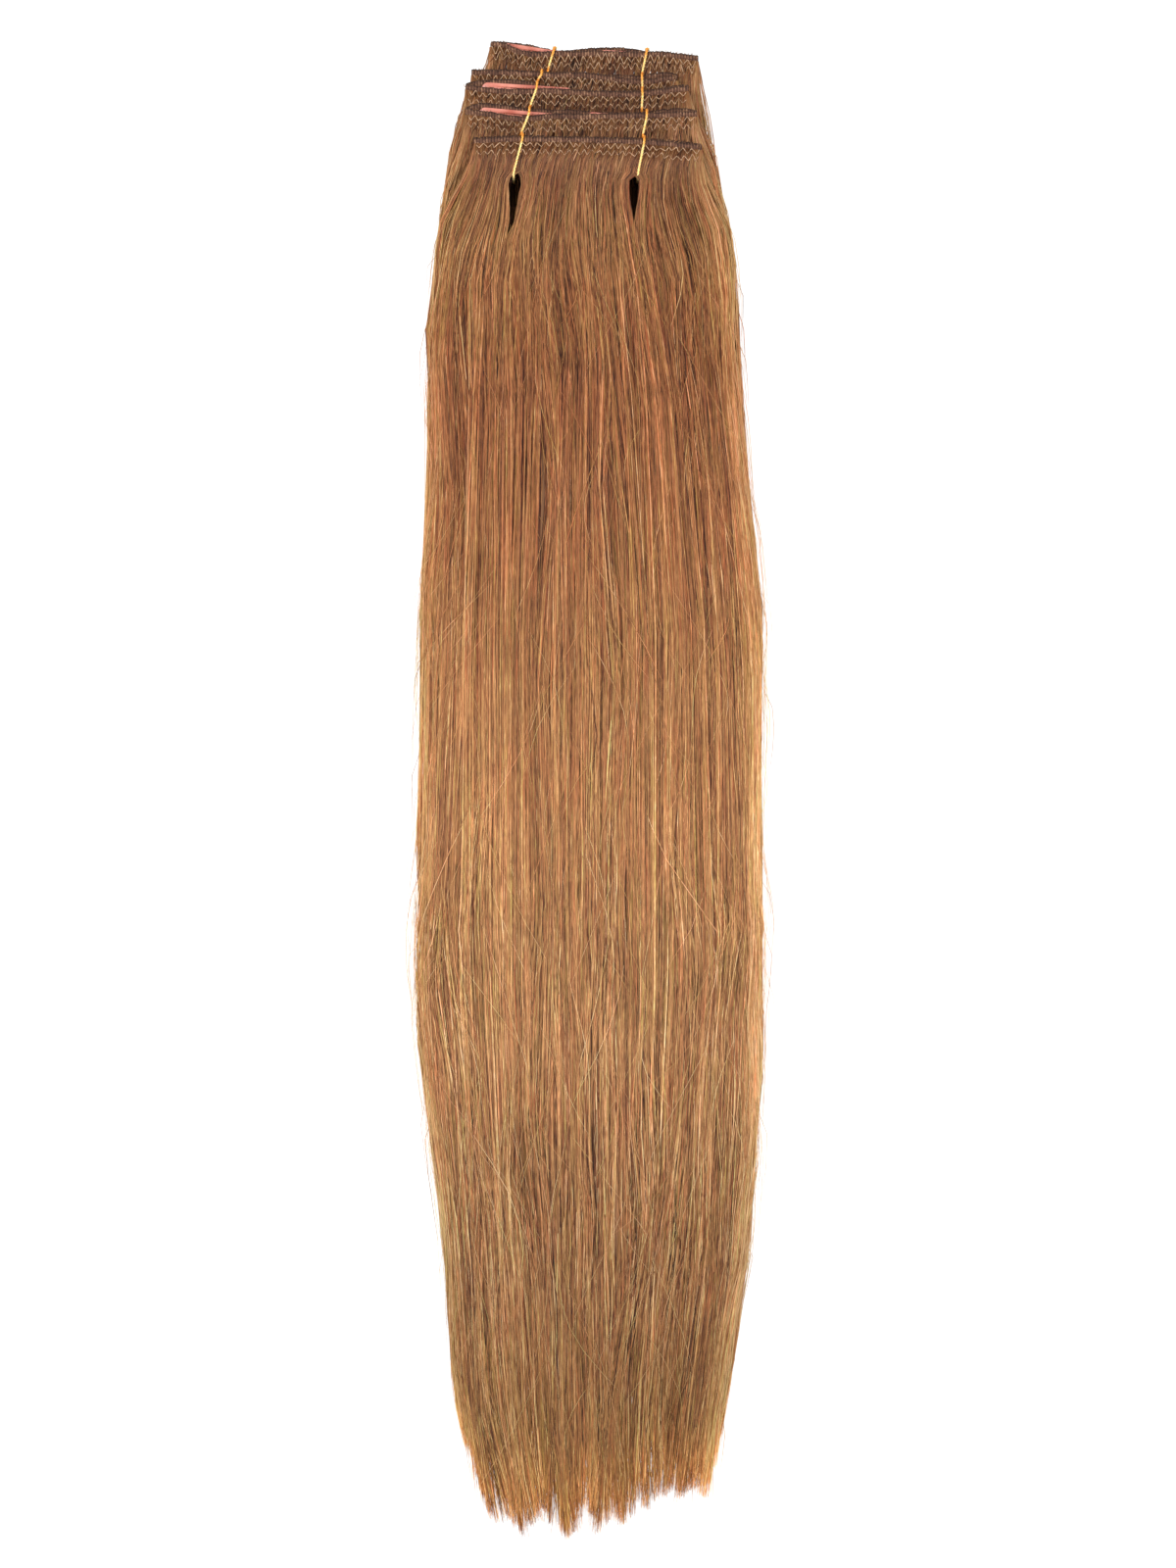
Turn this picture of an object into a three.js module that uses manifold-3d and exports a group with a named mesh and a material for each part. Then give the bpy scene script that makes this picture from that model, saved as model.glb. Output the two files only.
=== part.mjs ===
// A clip-in hair extension: one set of straight hair, packed as it is sold. Each of its five wefts is a
// seam folded once round two snap clips, with hair hanging from it. The wefts lie one on the next like
// shingles, so that each seam shows above the one in front of it, and two gold threads tie the stack.
// It lies on its back, in millimetres, +Z up, with the seams towards +Y and the hair's tips towards -Y.
import * as THREE from "three";
import { mergeVertices } from "three/addons/utils/BufferGeometryUtils.js";
import Module from "manifold-3d";

const wasm = await Module();
wasm.setup();

// The hair: its length is taken from the top of a weft's seam to its longest tip.
const HAIR_LENGTH = 508;
const HALF_WIDTH = 65.5;
const CROWN = 0.45;
const LOCK_OVERLAP = 1.24;
const LOCK_ARCH = 0.34;
const TIP_TAPER = 32;
const TIP_WIDTH = 0.4;
const TIP_THICKNESS = 0.3;
const FAN_OUT = 55;
const BACKING_LENGTH = 7;
const BACKING_INSET = 0.5;
const LAYER_CLEARANCE = 0.6;

// A snap clip: a window frame of sheet with a tongue riveted over it.
const CLIP_LENGTH = 34;
const CLIP_WIDTH = 6.4;
const CLIP_TIP_WIDTH = 4.6;
const CLIP_SHEET = 0.8;
const CLIP_LAP = 0.1;
const CLIP_RIM = 1.3;
const TONGUE_WIDTH = 2;
const RIVET_RADIUS = 1.0;
const RIVET_HEIGHT = 0.2;

// A weft's seam, folded once round two clips with a little room beside them, and the clearance
// between pieces that touch.
const CLIP_GAP = 1.6;
const CLIP_ROOM = 0.8;
const FOLD_ROOM = 5.2;
const SEAM_PITCH = 9.4;
const PLY = 1.1;
const CLEARANCE = 0.3;

// The tying thread.
const THREAD = 1.0;
const KNOT_RADIUS = 0.95;
const THREAD_SIDES = 8;
const THREAD_STEP = 2.9;
const SLIT_LENGTH = 25;
const SLIT_WIDTH = 4.4;
const SLIT_SETBACK = 5.8;

// What follows from the sizes above: a seam's width and height, the threads' holes, and the stack.
const SEAM_WIDTH = 2 * (CLIP_LENGTH + FOLD_ROOM) + CLIP_GAP;
const SEAM_HEIGHT = CLIP_WIDTH + CLIP_ROOM;
const SLIT_DROP = SEAM_HEIGHT + SLIT_SETBACK;
const CLIP_THICKNESS = 2 * CLIP_SHEET - CLIP_LAP + RIVET_HEIGHT;
const FOLD_GAP = CLIP_THICKNESS + 2 * CLEARANCE;
const WEFT_THICKNESS = 2 * PLY + FOLD_GAP;
const WEFT_STEP = WEFT_THICKNESS + CLEARANCE;
const BED = THREAD + 2 * CLEARANCE;

// The bundle's outline. along is a share of HAIR_LENGTH below the front seam's top edge, left and right
// are shares of HALF_WIDTH, thick is a share of WEFT_STEP for each layer, crown is how far that layer
// has rounded, and bed is how much of the threads' bed is left under it.
const OUTLINE = [
  { along: -0.07, left: 0.6, right: 0.6, thick: 1.0, crown: 0, bed: 1 },
  { along: 0.0, left: 0.765, right: 0.69, thick: 1.0, crown: 0, bed: 1 },
  { along: 0.03, left: 0.8, right: 0.73, thick: 1.0, crown: 0, bed: 1 },
  { along: 0.065, left: 0.845, right: 0.79, thick: 0.9, crown: 0.25, bed: 1 },
  { along: 0.11, left: 0.89, right: 0.835, thick: 0.8, crown: 0.5, bed: 0.4 },
  { along: 0.17, left: 0.92, right: 0.857, thick: 0.7, crown: 0.8, bed: 0 },
  { along: 0.25, left: 0.896, right: 0.9, thick: 0.65, crown: 1, bed: 0 },
  { along: 0.4, left: 0.95, right: 0.975, thick: 0.62, crown: 1, bed: 0 },
  { along: 0.59, left: 1.0, right: 1.0, thick: 0.6, crown: 1, bed: 0 },
  { along: 0.77, left: 0.858, right: 0.912, thick: 0.53, crown: 1, bed: 0 },
  { along: 0.91, left: 0.75, right: 0.765, thick: 0.42, crown: 1, bed: 0 },
  { along: 1.0, left: 0.56, right: 0.68, thick: 0.32, crown: 1, bed: 0 },
];

// The wefts, from the one that lies lowest to the front one. up is the seam's height above the front
// seam in shares of SEAM_PITCH, shift and width are shares of SEAM_WIDTH, fold is the side it is folded
// on, back is how far the back ply stands above the front one in shares of SEAM_HEIGHT, and edge is the
// wave of its top edge from left to right, in shares of SEAM_HEIGHT. spread is the share of the bundle's
// width that its hair fills, and tips has the length of each lock as a share of HAIR_LENGTH.
const WEFTS = [
  {
    up: 3.44, shift: 0.022, width: 0.95, fold: -1, back: 0.22, spread: 0.96,
    edge: [0.17, -0.12, 0.02, -0.04, -0.32],
    tips: [0.97, 0.985, 0.99, 0.98, 0.97],
  },
  {
    up: 2.73, shift: -0.067, width: 0.94, fold: 1, back: 0.14, spread: 0.98,
    edge: [0.04, 0.04, -0.07, -0.25, 0.25],
    tips: [0.975, 0.99, 0.985, 0.99, 0.97],
  },
  {
    up: 1.91, shift: -0.056, width: 1.016, fold: -1, back: 0.4, spread: 1.0,
    edge: [0.18, 0.03, -0.22, -0.03, 0.3],
    tips: [0.97, 0.98, 0.995, 0.98, 0.975],
  },
  {
    up: 0.98, shift: -0.038, width: 1.052, fold: -1, back: 0.4, spread: 0.99,
    edge: [0.2, -0.03, -0.03, 0, -0.04],
    tips: [0.965, 0.99, 0.98, 0.985, 0.965],
  },
  {
    up: 0, shift: -0.007, width: 1.034, fold: 1, back: 0.1, spread: 0.97,
    edge: [-0.15, 0.03, -0.05, 0.03, -0.1],
    tips: [0.968, 1.0, 0.984, 0.994, 1.0, 0.986, 0.972, 0.974],
  },
];

// The clips, two to a weft. weft counts from 1, side is -1 on the left and 1 on the right, proud is how
// far a clip stands above the front ply's edge in shares of CLIP_WIDTH, and tilt is in degrees.
const CLIPS = [
  { weft: 1, side: -1, proud: 0.3, tilt: -2.4 },
  { weft: 1, side: 1, proud: 0.1, tilt: -1.5 },
  { weft: 2, side: -1, proud: 0.06, tilt: 0 },
  { weft: 2, side: 1, proud: 0.1, tilt: 2 },
  { weft: 3, side: -1, proud: 0.26, tilt: -2.4 },
  { weft: 3, side: 1, proud: 0.14, tilt: 2.4 },
  { weft: 4, side: -1, proud: 0.26, tilt: -2.2 },
  { weft: 4, side: 1, proud: 0.08, tilt: 0 },
  { weft: 5, side: -1, proud: 0.06, tilt: 0 },
  { weft: 5, side: 1, proud: 0.06, tilt: 0 },
];

// Each thread's place on the seams, in shares of SEAM_WIDTH from the bundle's middle: at the top of the
// lowest weft, where it climbs on to each next one, and at the slit in the hair that it goes down.
const THREADS = [
  { name: "left", top: -0.158, climbs: [-0.2, -0.238, -0.27, -0.305], slit: -0.344 },
  { name: "right", top: 0.264, climbs: [0.238, 0.24, 0.25, 0.243], slit: 0.22 },
];

const COLOURS = {
  hair: new THREE.Color(0.45, 0.27, 0.14),
  seam: new THREE.Color(0.27, 0.16, 0.1),
  clip: new THREE.Color(0.8, 0.42, 0.34),
  gold: new THREE.Color(0.9, 0.6, 0.18),
};

// Turns a closed geometry into a solid.
function solidOf(geometry) {
  const bare = geometry.clone();
  bare.deleteAttribute("normal");
  bare.deleteAttribute("uv");
  const merged = mergeVertices(bare, 1e-4);
  return new wasm.Manifold(
    new wasm.Mesh({
      numProp: 3,
      vertProperties: new Float32Array(merged.attributes.position.array),
      triVerts: new Uint32Array(merged.index.array),
    }),
  );
}

// Turns a solid back into a geometry.
function geometryOf(solid) {
  const mesh = solid.getMesh();
  const geometry = new THREE.BufferGeometry();
  geometry.setAttribute("position", new THREE.BufferAttribute(new Float32Array(mesh.vertProperties), 3));
  geometry.setIndex(new THREE.BufferAttribute(new Uint32Array(mesh.triVerts), 1));
  geometry.computeVertexNormals();
  return geometry;
}

// Joins rings of equally many points into a closed solid, whichever way round they are listed.
function loft(rings) {
  const count = rings[0].length;
  const positions = rings.flat().flatMap((point) => [point.x, point.y, point.z]);
  const faces = [];
  for (let ring = 0; ring < rings.length - 1; ring++) {
    for (let i = 0; i < count; i++) {
      const here = ring * count + i;
      const next = ring * count + ((i + 1) % count);
      faces.push(here, next, here + count, next, next + count, here + count);
    }
  }
  const last = (rings.length - 1) * count;
  for (let i = 1; i < count - 1; i++) {
    faces.push(0, i + 1, i, last, last + i, last + i + 1);
  }
  const geometry = new THREE.BufferGeometry();
  geometry.setAttribute("position", new THREE.Float32BufferAttribute(positions, 3));
  geometry.setIndex(signedVolume(positions, faces) < 0 ? faces.slice().reverse() : faces);
  return solidOf(geometry);
}

function signedVolume(positions, faces) {
  const corner = (i) => new THREE.Vector3().fromArray(positions, 3 * i);
  let volume = 0;
  for (let i = 0; i < faces.length; i += 3) {
    volume += corner(faces[i]).dot(corner(faces[i + 1]).cross(corner(faces[i + 2]))) / 6;
  }
  return volume;
}

// The outline's row at a height y, with its columns interpolated in straight stretches.
function outlineAt(y) {
  const along = -y / HAIR_LENGTH;
  let i = OUTLINE.findIndex((row) => row.along > along);
  if (i < 1) i = i === 0 ? 1 : OUTLINE.length - 1;
  const [from, to] = [OUTLINE[i - 1], OUTLINE[i]];
  const share = (along - from.along) / (to.along - from.along);
  const row = {};
  for (const column of Object.keys(from)) row[column] = from[column] + (to[column] - from[column]) * share;
  return row;
}

// The height of the boundary above the given number of hair layers.
function boundary(layers, x, y) {
  const { left, right, thick, crown, bed } = outlineAt(y);
  const across = x / (HALF_WIDTH * (x < 0 ? left : right));
  return BED * bed + layers * WEFT_STEP * thick * (1 - CROWN * crown * Math.min(1, across * across));
}

// A seam's own measures: its ends, its level and the wave of its edge.
function seamOf(weft, index) {
  const middle = weft.shift * SEAM_WIDTH;
  const half = (weft.width * SEAM_WIDTH) / 2;
  const wave = new THREE.CatmullRomCurve3(weft.edge.map((rise, i) => new THREE.Vector3(i, rise, 0)));
  const edge = (x) => {
    const share = THREE.MathUtils.clamp((x - middle + half) / (2 * half), 0, 1);
    return weft.up * SEAM_PITCH + wave.getPoint(share).y * SEAM_HEIGHT;
  };
  return { middle, half, edge, level: BED + index * WEFT_STEP, back: weft.back * SEAM_HEIGHT };
}

// The folded seam: a front ply, a round fold and a back ply, swept as one strip.
function seamSolid(weft, index) {
  const { middle, half, edge, level, back } = seamOf(weft, index);
  const bend = (FOLD_GAP + PLY) / 2;
  const open = middle - weft.fold * half;
  const turn = middle + weft.fold * (half - bend - PLY / 2);
  const centre = level + WEFT_THICKNESS / 2;
  const stations = [];
  const add = (x, z, nx, nz, behind) => stations.push({ x, z, nx, nz, behind });
  const steps = 8;
  for (let i = 0; i <= steps; i++) {
    add(THREE.MathUtils.lerp(open, turn, i / steps), centre + bend, 0, 1, 0);
  }
  const turns = 4;
  for (let i = 1; i < turns; i++) {
    const angle = (Math.PI * i) / turns;
    const [nx, nz] = [weft.fold * Math.sin(angle), Math.cos(angle)];
    add(turn + bend * nx, centre + bend * nz, nx, nz, i / turns);
  }
  for (let i = steps; i >= 0; i--) {
    add(THREE.MathUtils.lerp(open, turn, i / steps), centre - bend, 0, -1, 1);
  }
  // Across the strip: a full header along the top edge, and a thinner hem below it.
  const profile = [
    { out: -0.3, down: 0 },
    { out: 0.3, down: 0 },
    { out: 0.5, down: 0.08 },
    { out: 0.42, down: 1 },
    { out: -0.42, down: 1 },
    { out: -0.5, down: 0.08 },
  ];
  const rings = stations.map(({ x, z, nx, nz, behind }) =>
    profile.map(({ out, down }) => {
      const y = edge(x) + back * behind - down * SEAM_HEIGHT;
      return new THREE.Vector3(x + nx * out * PLY, y, z + nz * out * PLY);
    }),
  );
  return loft(rings);
}

// One lock of hair: flat below, arched above, and drawn in to a tip.
function lockSolid(weft, index, place) {
  const { middle, half, edge } = seamOf(weft, index);
  const count = weft.tips.length;
  const centre = (2 * place + 1) / count - 1;
  const rootY = edge(middle + centre * half) - SEAM_HEIGHT - CLEARANCE - BACKING_INSET;
  const tipY = weft.up * SEAM_PITCH - weft.tips[place] * HAIR_LENGTH;
  const ys = OUTLINE.map((row) => -row.along * HAIR_LENGTH)
    .filter((y) => y < rootY - THREAD && y > tipY + TIP_TAPER)
    .concat([tipY + TIP_TAPER, tipY + TIP_TAPER / 3]);
  const crossSection = (y, isRoot) => {
    const { left, right } = outlineAt(y);
    const drawn = THREE.MathUtils.clamp((tipY + TIP_TAPER - y) / TIP_TAPER, 0, 1);
    const fanned = THREE.MathUtils.smoothstep(rootY - y, 0, FAN_OUT);
    const halfShare = (LOCK_OVERLAP / count) * (1 - (1 - TIP_WIDTH) * drawn);
    const xAt = (across) => {
      const share = THREE.MathUtils.clamp(centre + across * halfShare, -1, 1);
      const seamX = middle + share * half;
      const spreadX = share * HALF_WIDTH * weft.spread * (share < 0 ? left : right);
      return THREE.MathUtils.lerp(seamX, spreadX, fanned);
    };
    const point = (across, sink) => {
      const x = xAt(across);
      const py = isRoot ? edge(x) - SEAM_HEIGHT - CLEARANCE - BACKING_INSET : y;
      const low = boundary(index, x, y);
      const high = boundary(index + 1, x, y) - LAYER_CLEARANCE;
      const full = (high - low) * (1 - (1 - TIP_THICKNESS) * drawn);
      return new THREE.Vector3(x, py, sink === null ? low : low + full * (1 - sink));
    };
    const sunk = isRoot ? 0.02 : LOCK_ARCH;
    return [
      point(-1, null), point(1, null), point(1, sunk),
      point(0.5, sunk / 8), point(-0.5, sunk / 8), point(-1, sunk),
    ];
  };
  return loft([
    crossSection(rootY, true),
    ...ys.map((y) => crossSection(y, false)),
    crossSection(tipY, false),
  ]);
}

// The plate at the root that all of a weft's locks are fused to.
function backingSolid(weft, index) {
  const { middle, half, edge, level } = seamOf(weft, index);
  const steps = 8;
  const rings = [];
  for (let i = 0; i <= steps; i++) {
    const x = middle + THREE.MathUtils.lerp(-1, 1, i / steps) * (half - BACKING_INSET);
    const top = edge(x) - SEAM_HEIGHT - CLEARANCE;
    const [low, high] = [level + BACKING_INSET, level + WEFT_THICKNESS - BACKING_INSET];
    rings.push([
      new THREE.Vector3(x, top, low), new THREE.Vector3(x, top, high),
      new THREE.Vector3(x, top - BACKING_LENGTH, high), new THREE.Vector3(x, top - BACKING_LENGTH, low),
    ]);
  }
  return loft(rings);
}

// The opening that a thread parts in the hair: a drop, wide above and pointed below.
function slitSolid(thread, share) {
  const [length, width] = [SLIT_LENGTH * share, Math.max(SLIT_WIDTH * share, THREAD + 4 * CLEARANCE)];
  const shape = new THREE.Shape();
  shape.moveTo(0, THREAD);
  shape.quadraticCurveTo(width * 0.75, 0, width / 4, -length * 0.55);
  shape.lineTo(0, -length);
  shape.lineTo(-width / 4, -length * 0.55);
  shape.quadraticCurveTo(-width * 0.75, 0, 0, THREAD);
  const tall = WEFT_STEP * (WEFTS.length + 2);
  const geometry = new THREE.ExtrudeGeometry(shape, { depth: tall, bevelEnabled: false, curveSegments: 3 });
  return solidOf(geometry.translate(thread.slit * SEAM_WIDTH, -SLIT_DROP, -WEFT_STEP));
}

function hairSolid(weft, index) {
  const locks = weft.tips.map((_, place) => lockSolid(weft, index, place));
  let hair = wasm.Manifold.union([...locks, backingSolid(weft, index)]);
  for (const thread of THREADS) {
    hair = hair.subtract(slitSolid(thread, (index + 1) / WEFTS.length));
  }
  return hair;
}

// A rounded bar in the plane, from a half circle at x1 to a half circle at x2.
function bar(path, x1, r1, x2, r2) {
  path.moveTo(x1, -r1);
  path.lineTo(x2, -r2);
  path.absarc(x2, 0, r2, -Math.PI / 2, Math.PI / 2, false);
  path.lineTo(x1, r1);
  path.absarc(x1, 0, r1, Math.PI / 2, (3 * Math.PI) / 2, false);
  return path;
}

function plate(shape, depth, bottom) {
  const geometry = new THREE.ExtrudeGeometry(shape, { depth, bevelEnabled: false, curveSegments: 2 });
  return solidOf(geometry.translate(0, 0, bottom));
}

// A snap clip, lying flat with its rivet at -X.
function clipSolid() {
  const [wide, narrow] = [CLIP_WIDTH / 2, CLIP_TIP_WIDTH / 2];
  const [x1, x2] = [-CLIP_LENGTH / 2 + narrow, CLIP_LENGTH / 2 - wide];
  const frame = bar(new THREE.Shape(), x1, narrow, x2, wide);
  const rivetX = x1 + RIVET_RADIUS;
  const windowX = rivetX + 3 * RIVET_RADIUS;
  frame.holes.push(bar(new THREE.Path(), windowX, narrow - CLIP_RIM, x2, wide - CLIP_RIM));
  const tongue = bar(new THREE.Shape(), rivetX, TONGUE_WIDTH / 2, x2 + wide - CLIP_RIM, TONGUE_WIDTH / 2);
  const tongueBottom = CLIP_SHEET - CLIP_LAP;
  const rivet = new THREE.CylinderGeometry(RIVET_RADIUS, RIVET_RADIUS, CLIP_THICKNESS / 2, THREAD_SIDES);
  rivet.rotateX(Math.PI / 2).translate(rivetX, 0, (CLIP_THICKNESS * 3) / 4);
  return wasm.Manifold.union([
    plate(frame, CLIP_SHEET, 0),
    plate(tongue, CLIP_SHEET, tongueBottom),
    solidOf(rivet),
  ]);
}

function clipMesh(clip, name) {
  const { middle, edge, level } = seamOf(WEFTS[clip.weft - 1], clip.weft - 1);
  const mesh = new THREE.Mesh(geometryOf(clipSolid()), material("clip", 0.3, 0.35));
  const x = middle + (clip.side * (CLIP_LENGTH + CLIP_GAP)) / 2;
  mesh.position.set(x, edge(x) + (clip.proud - 0.5) * CLIP_WIDTH, level + PLY + CLEARANCE);
  const turned = clip.side > 0 ? Math.PI : 0;
  mesh.rotation.z = turned + THREE.MathUtils.degToRad(clip.tilt);
  mesh.name = name;
  return mesh;
}

// A tying thread: from its knot over the seams like a stair, down the slit, and back under the stack.
function threadSolid(thread) {
  const radius = THREAD / 2;
  const off = radius + CLEARANCE;
  const seams = WEFTS.map(seamOf);
  const xs = [thread.top, ...thread.climbs, thread.slit].map((share) => share * SEAM_WIDTH);
  const face = (index) => seams[index].level + WEFT_THICKNESS + off;
  const rim = (index, x) => seams[index].edge(x) + seams[index].back + off;
  const low = BED / 2;
  const knotY = rim(0, xs[0]) + KNOT_RADIUS;
  const knot = new THREE.Vector3(xs[0], knotY, seams[0].level + WEFT_THICKNESS / 2);
  const points = [
    knot.clone().add(new THREE.Vector3(0, 0, CLEARANCE)),
    new THREE.Vector3(xs[0], knotY - radius, face(0)),
    new THREE.Vector3(xs[0], knotY - 3 * THREAD, face(0)),
  ];
  for (let index = 1; index < WEFTS.length; index++) {
    const x = xs[index];
    const y = rim(index, x);
    points.push(
      new THREE.Vector3(x, y + 2 * THREAD, face(index - 1)),
      new THREE.Vector3(x, y + radius, face(index - 1) + radius),
      new THREE.Vector3(x, y, face(index)),
      new THREE.Vector3(x, y - 2 * THREAD, face(index)),
    );
  }
  const slitX = thread.slit * SEAM_WIDTH;
  const over = boundary(WEFTS.length, slitX, -SLIT_DROP) + radius;
  points.push(
    new THREE.Vector3(slitX, -SLIT_DROP + THREAD, over),
    new THREE.Vector3(slitX, -SLIT_DROP - radius, over - THREAD),
    new THREE.Vector3(slitX, -SLIT_DROP - radius, over - 3 * THREAD),
    new THREE.Vector3(slitX, -SLIT_DROP - radius, low + 3 * THREAD),
    new THREE.Vector3(slitX, -SLIT_DROP - radius, low + THREAD),
    new THREE.Vector3(slitX, -SLIT_DROP + THREAD, low),
    new THREE.Vector3(slitX, -SLIT_DROP + 4 * THREAD, low),
    new THREE.Vector3(xs[0], knotY - 3 * THREAD, low),
    new THREE.Vector3(xs[0], knotY - THREAD, low),
    new THREE.Vector3(xs[0], knotY, low + THREAD),
    knot.clone().sub(new THREE.Vector3(0, 0, CLEARANCE)),
  );
  const route = new THREE.CatmullRomCurve3(points, false, "centripetal");
  const section = new THREE.Shape();
  for (let i = 0; i < THREAD_SIDES; i++) {
    const angle = (2 * Math.PI * i) / THREAD_SIDES;
    const [x, y] = [radius * Math.cos(angle), radius * Math.sin(angle)];
    if (i === 0) section.moveTo(x, y);
    else section.lineTo(x, y);
  }
  const steps = Math.round(route.getLength() / THREAD_STEP);
  const tube = new THREE.ExtrudeGeometry(section, { steps, bevelEnabled: false, extrudePath: route });
  const ball = new THREE.SphereGeometry(KNOT_RADIUS, THREAD_SIDES, 6).translate(knot.x, knot.y, knot.z);
  return solidOf(tube).add(solidOf(ball));
}

function material(colour, roughness, metalness) {
  return new THREE.MeshStandardMaterial({ color: COLOURS[colour], roughness, metalness });
}

function meshOf(solid, name, finish) {
  const mesh = new THREE.Mesh(geometryOf(solid), finish);
  mesh.name = name;
  return mesh;
}

const set = new THREE.Group();
WEFTS.forEach((weft, index) => {
  set.add(meshOf(seamSolid(weft, index), `seam_${index + 1}`, material("seam", 0.9, 0)));
  set.add(meshOf(hairSolid(weft, index), `hair_${index + 1}`, material("hair", 0.5, 0)));
});
for (const clip of CLIPS) {
  set.add(clipMesh(clip, `clip_${clip.weft}_${clip.side < 0 ? "left" : "right"}`));
}
for (const thread of THREADS) {
  set.add(meshOf(threadSolid(thread), `thread_${thread.name}`, material("gold", 0.3, 0.9)));
}

// The origin is in the middle of the footprint, on the surface that the bundle lies on.
const extent = new THREE.Box3().setFromObject(set, true);
const footprint = extent.getCenter(new THREE.Vector3());
set.position.set(-footprint.x, -footprint.y, -extent.min.z);

export default set;
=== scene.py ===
"""A tied bundle of straight clip-in hair, lying on its back in a plain pale studio.

Five folded seams carry the hair, snap clips sit in the folds, and two gold threads hold the stack. The
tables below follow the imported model, in millimetres; meshes are written in metres.
"""

import logging
import math
from dataclasses import dataclass, field
from enum import Enum
from typing import Sequence

import bpy
import numpy as np
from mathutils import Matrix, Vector

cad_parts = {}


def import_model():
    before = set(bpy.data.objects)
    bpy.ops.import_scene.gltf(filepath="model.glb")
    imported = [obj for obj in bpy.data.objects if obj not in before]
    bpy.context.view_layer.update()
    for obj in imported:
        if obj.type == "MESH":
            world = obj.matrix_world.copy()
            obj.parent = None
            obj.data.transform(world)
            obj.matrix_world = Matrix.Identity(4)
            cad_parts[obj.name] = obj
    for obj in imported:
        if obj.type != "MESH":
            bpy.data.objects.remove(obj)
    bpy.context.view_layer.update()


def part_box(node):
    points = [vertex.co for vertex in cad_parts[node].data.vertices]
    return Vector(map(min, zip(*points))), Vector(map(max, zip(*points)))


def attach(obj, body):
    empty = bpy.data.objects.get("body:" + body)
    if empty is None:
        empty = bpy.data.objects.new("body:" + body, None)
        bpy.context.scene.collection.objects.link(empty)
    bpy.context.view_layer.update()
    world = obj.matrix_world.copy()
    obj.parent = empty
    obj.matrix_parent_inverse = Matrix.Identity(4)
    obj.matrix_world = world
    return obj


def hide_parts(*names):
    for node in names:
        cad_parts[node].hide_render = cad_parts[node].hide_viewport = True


LOG = logging.getLogger("hair_bundle")

MM = 0.001
BODY = "root"
MAP_NAME = "OFBake"
TONES = 256
STRAND_SHARE = 0.74

Array = np.ndarray


class Tress(Enum):
    """The sorts of strand that a weft's hair is drawn from."""

    LONG = "long"
    SURFACE = "surface"
    ROOT = "root"
    TIP = "tip"
    STRAY = "stray"
    FRINGE = "fringe"
    SIDE = "side"
    FUZZ = "fuzz"


@dataclass(frozen=True)
class WeftPlan:
    """One weft: its seam's place, the run of its two edges, and its hair's spread and tone.

    up is how far its seam stands above the front one, in seam pitches; shift and width are shares of
    the seam's width; edge and rise are in millimetres, evenly spaced from left to right.
    """

    number: int
    up: float
    shift: float
    width: float
    fold: int
    edge: tuple[float, ...]
    rise: tuple[float, ...]
    spread: float
    stitch: float
    tone: float


WEFTS = (
    WeftPlan(1, 3.55, 0.022, 0.95, -1,
             (3.6, 3.4, 1.1, 0.1, -0.1, 0.0, 0.1, 0.1, 0.2, 0.1, 0.0, -0.1, -0.1, -0.0, -0.4, -1.0, -1.7),
             (0.4, 0.4, 2.3, 2.7, 1.8, 0.8, 0.6, 1.1, 1.4, 1.7, 1.8, 1.3, 0.5, 0.1, -0.0, 0.2, 0.5),
             0.96, 1.5, -0.06),
    WeftPlan(2, 2.73, -0.067, 0.94, +1,
             (0.5, 0.5, 0.5, 0.4, 0.2, -0.1, -0.4, -0.4, -0.4, -0.7, -1.2, -1.9, -2.6, -2.9, -2.6, -1.9,
              -1.5),
             (0.5, 0.5, 0.5, 0.5, 0.5, 0.5, 0.5, 0.5, 0.5, 0.5, 0.5, 1.0, 1.5, 1.6, 2.1, 1.8, 1.1),
             0.98, 1.25, -0.13),
    WeftPlan(3, 1.91, -0.056, 1.016, -1,
             (2.5, 1.7, 1.1, 0.8, 0.8, 0.9, 1.0, 0.8, 0.5, 0.1, 0.0, -0.1, -0.1, 0.2, 0.7, 1.6, 1.9),
             (0.9, 2.5, 3.4, 3.7, 3.5, 2.5, 1.0, 0.3, 0.3, 0.4, 0.5, 0.6, 0.6, 0.6, 0.7, 0.8, 0.7),
             1.0, 1.0, -0.1),
    WeftPlan(4, 0.98, -0.038, 1.052, -1,
             (1.7, 1.2, 0.5, -0.4, -0.8, -0.4, 0.1, 0.1, 0.0, 0.1, 0.2, 0.3, 0.4, 0.5, 0.6, 0.8, 1.0),
             (1.3, 3.0, 3.5, 3.8, 3.2, 2.6, 1.7, 1.8, 1.6, 1.0, 0.8, 0.6, 0.6, 0.9, 1.5, 1.6, 0.6),
             0.99, 1.05, 0.05),
    WeftPlan(5, 0.0, -0.007, 1.034, +1,
             (0.0, 0.2, 0.5, 0.6, 0.6, 0.5, 0.4, 0.4, 0.3, 0.1, -0.0, -0.2, -0.4, -0.8, -1.2, -1.8, -2.4),
             (0.6, 0.6, 0.6, 0.6, 0.6, 0.6, 0.6, 0.6, 0.6, 0.6, 0.6, 0.7, 0.7, 0.7, 0.8, 0.7, 0.7),
             0.97, 1.0, 0.0),
)


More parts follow.
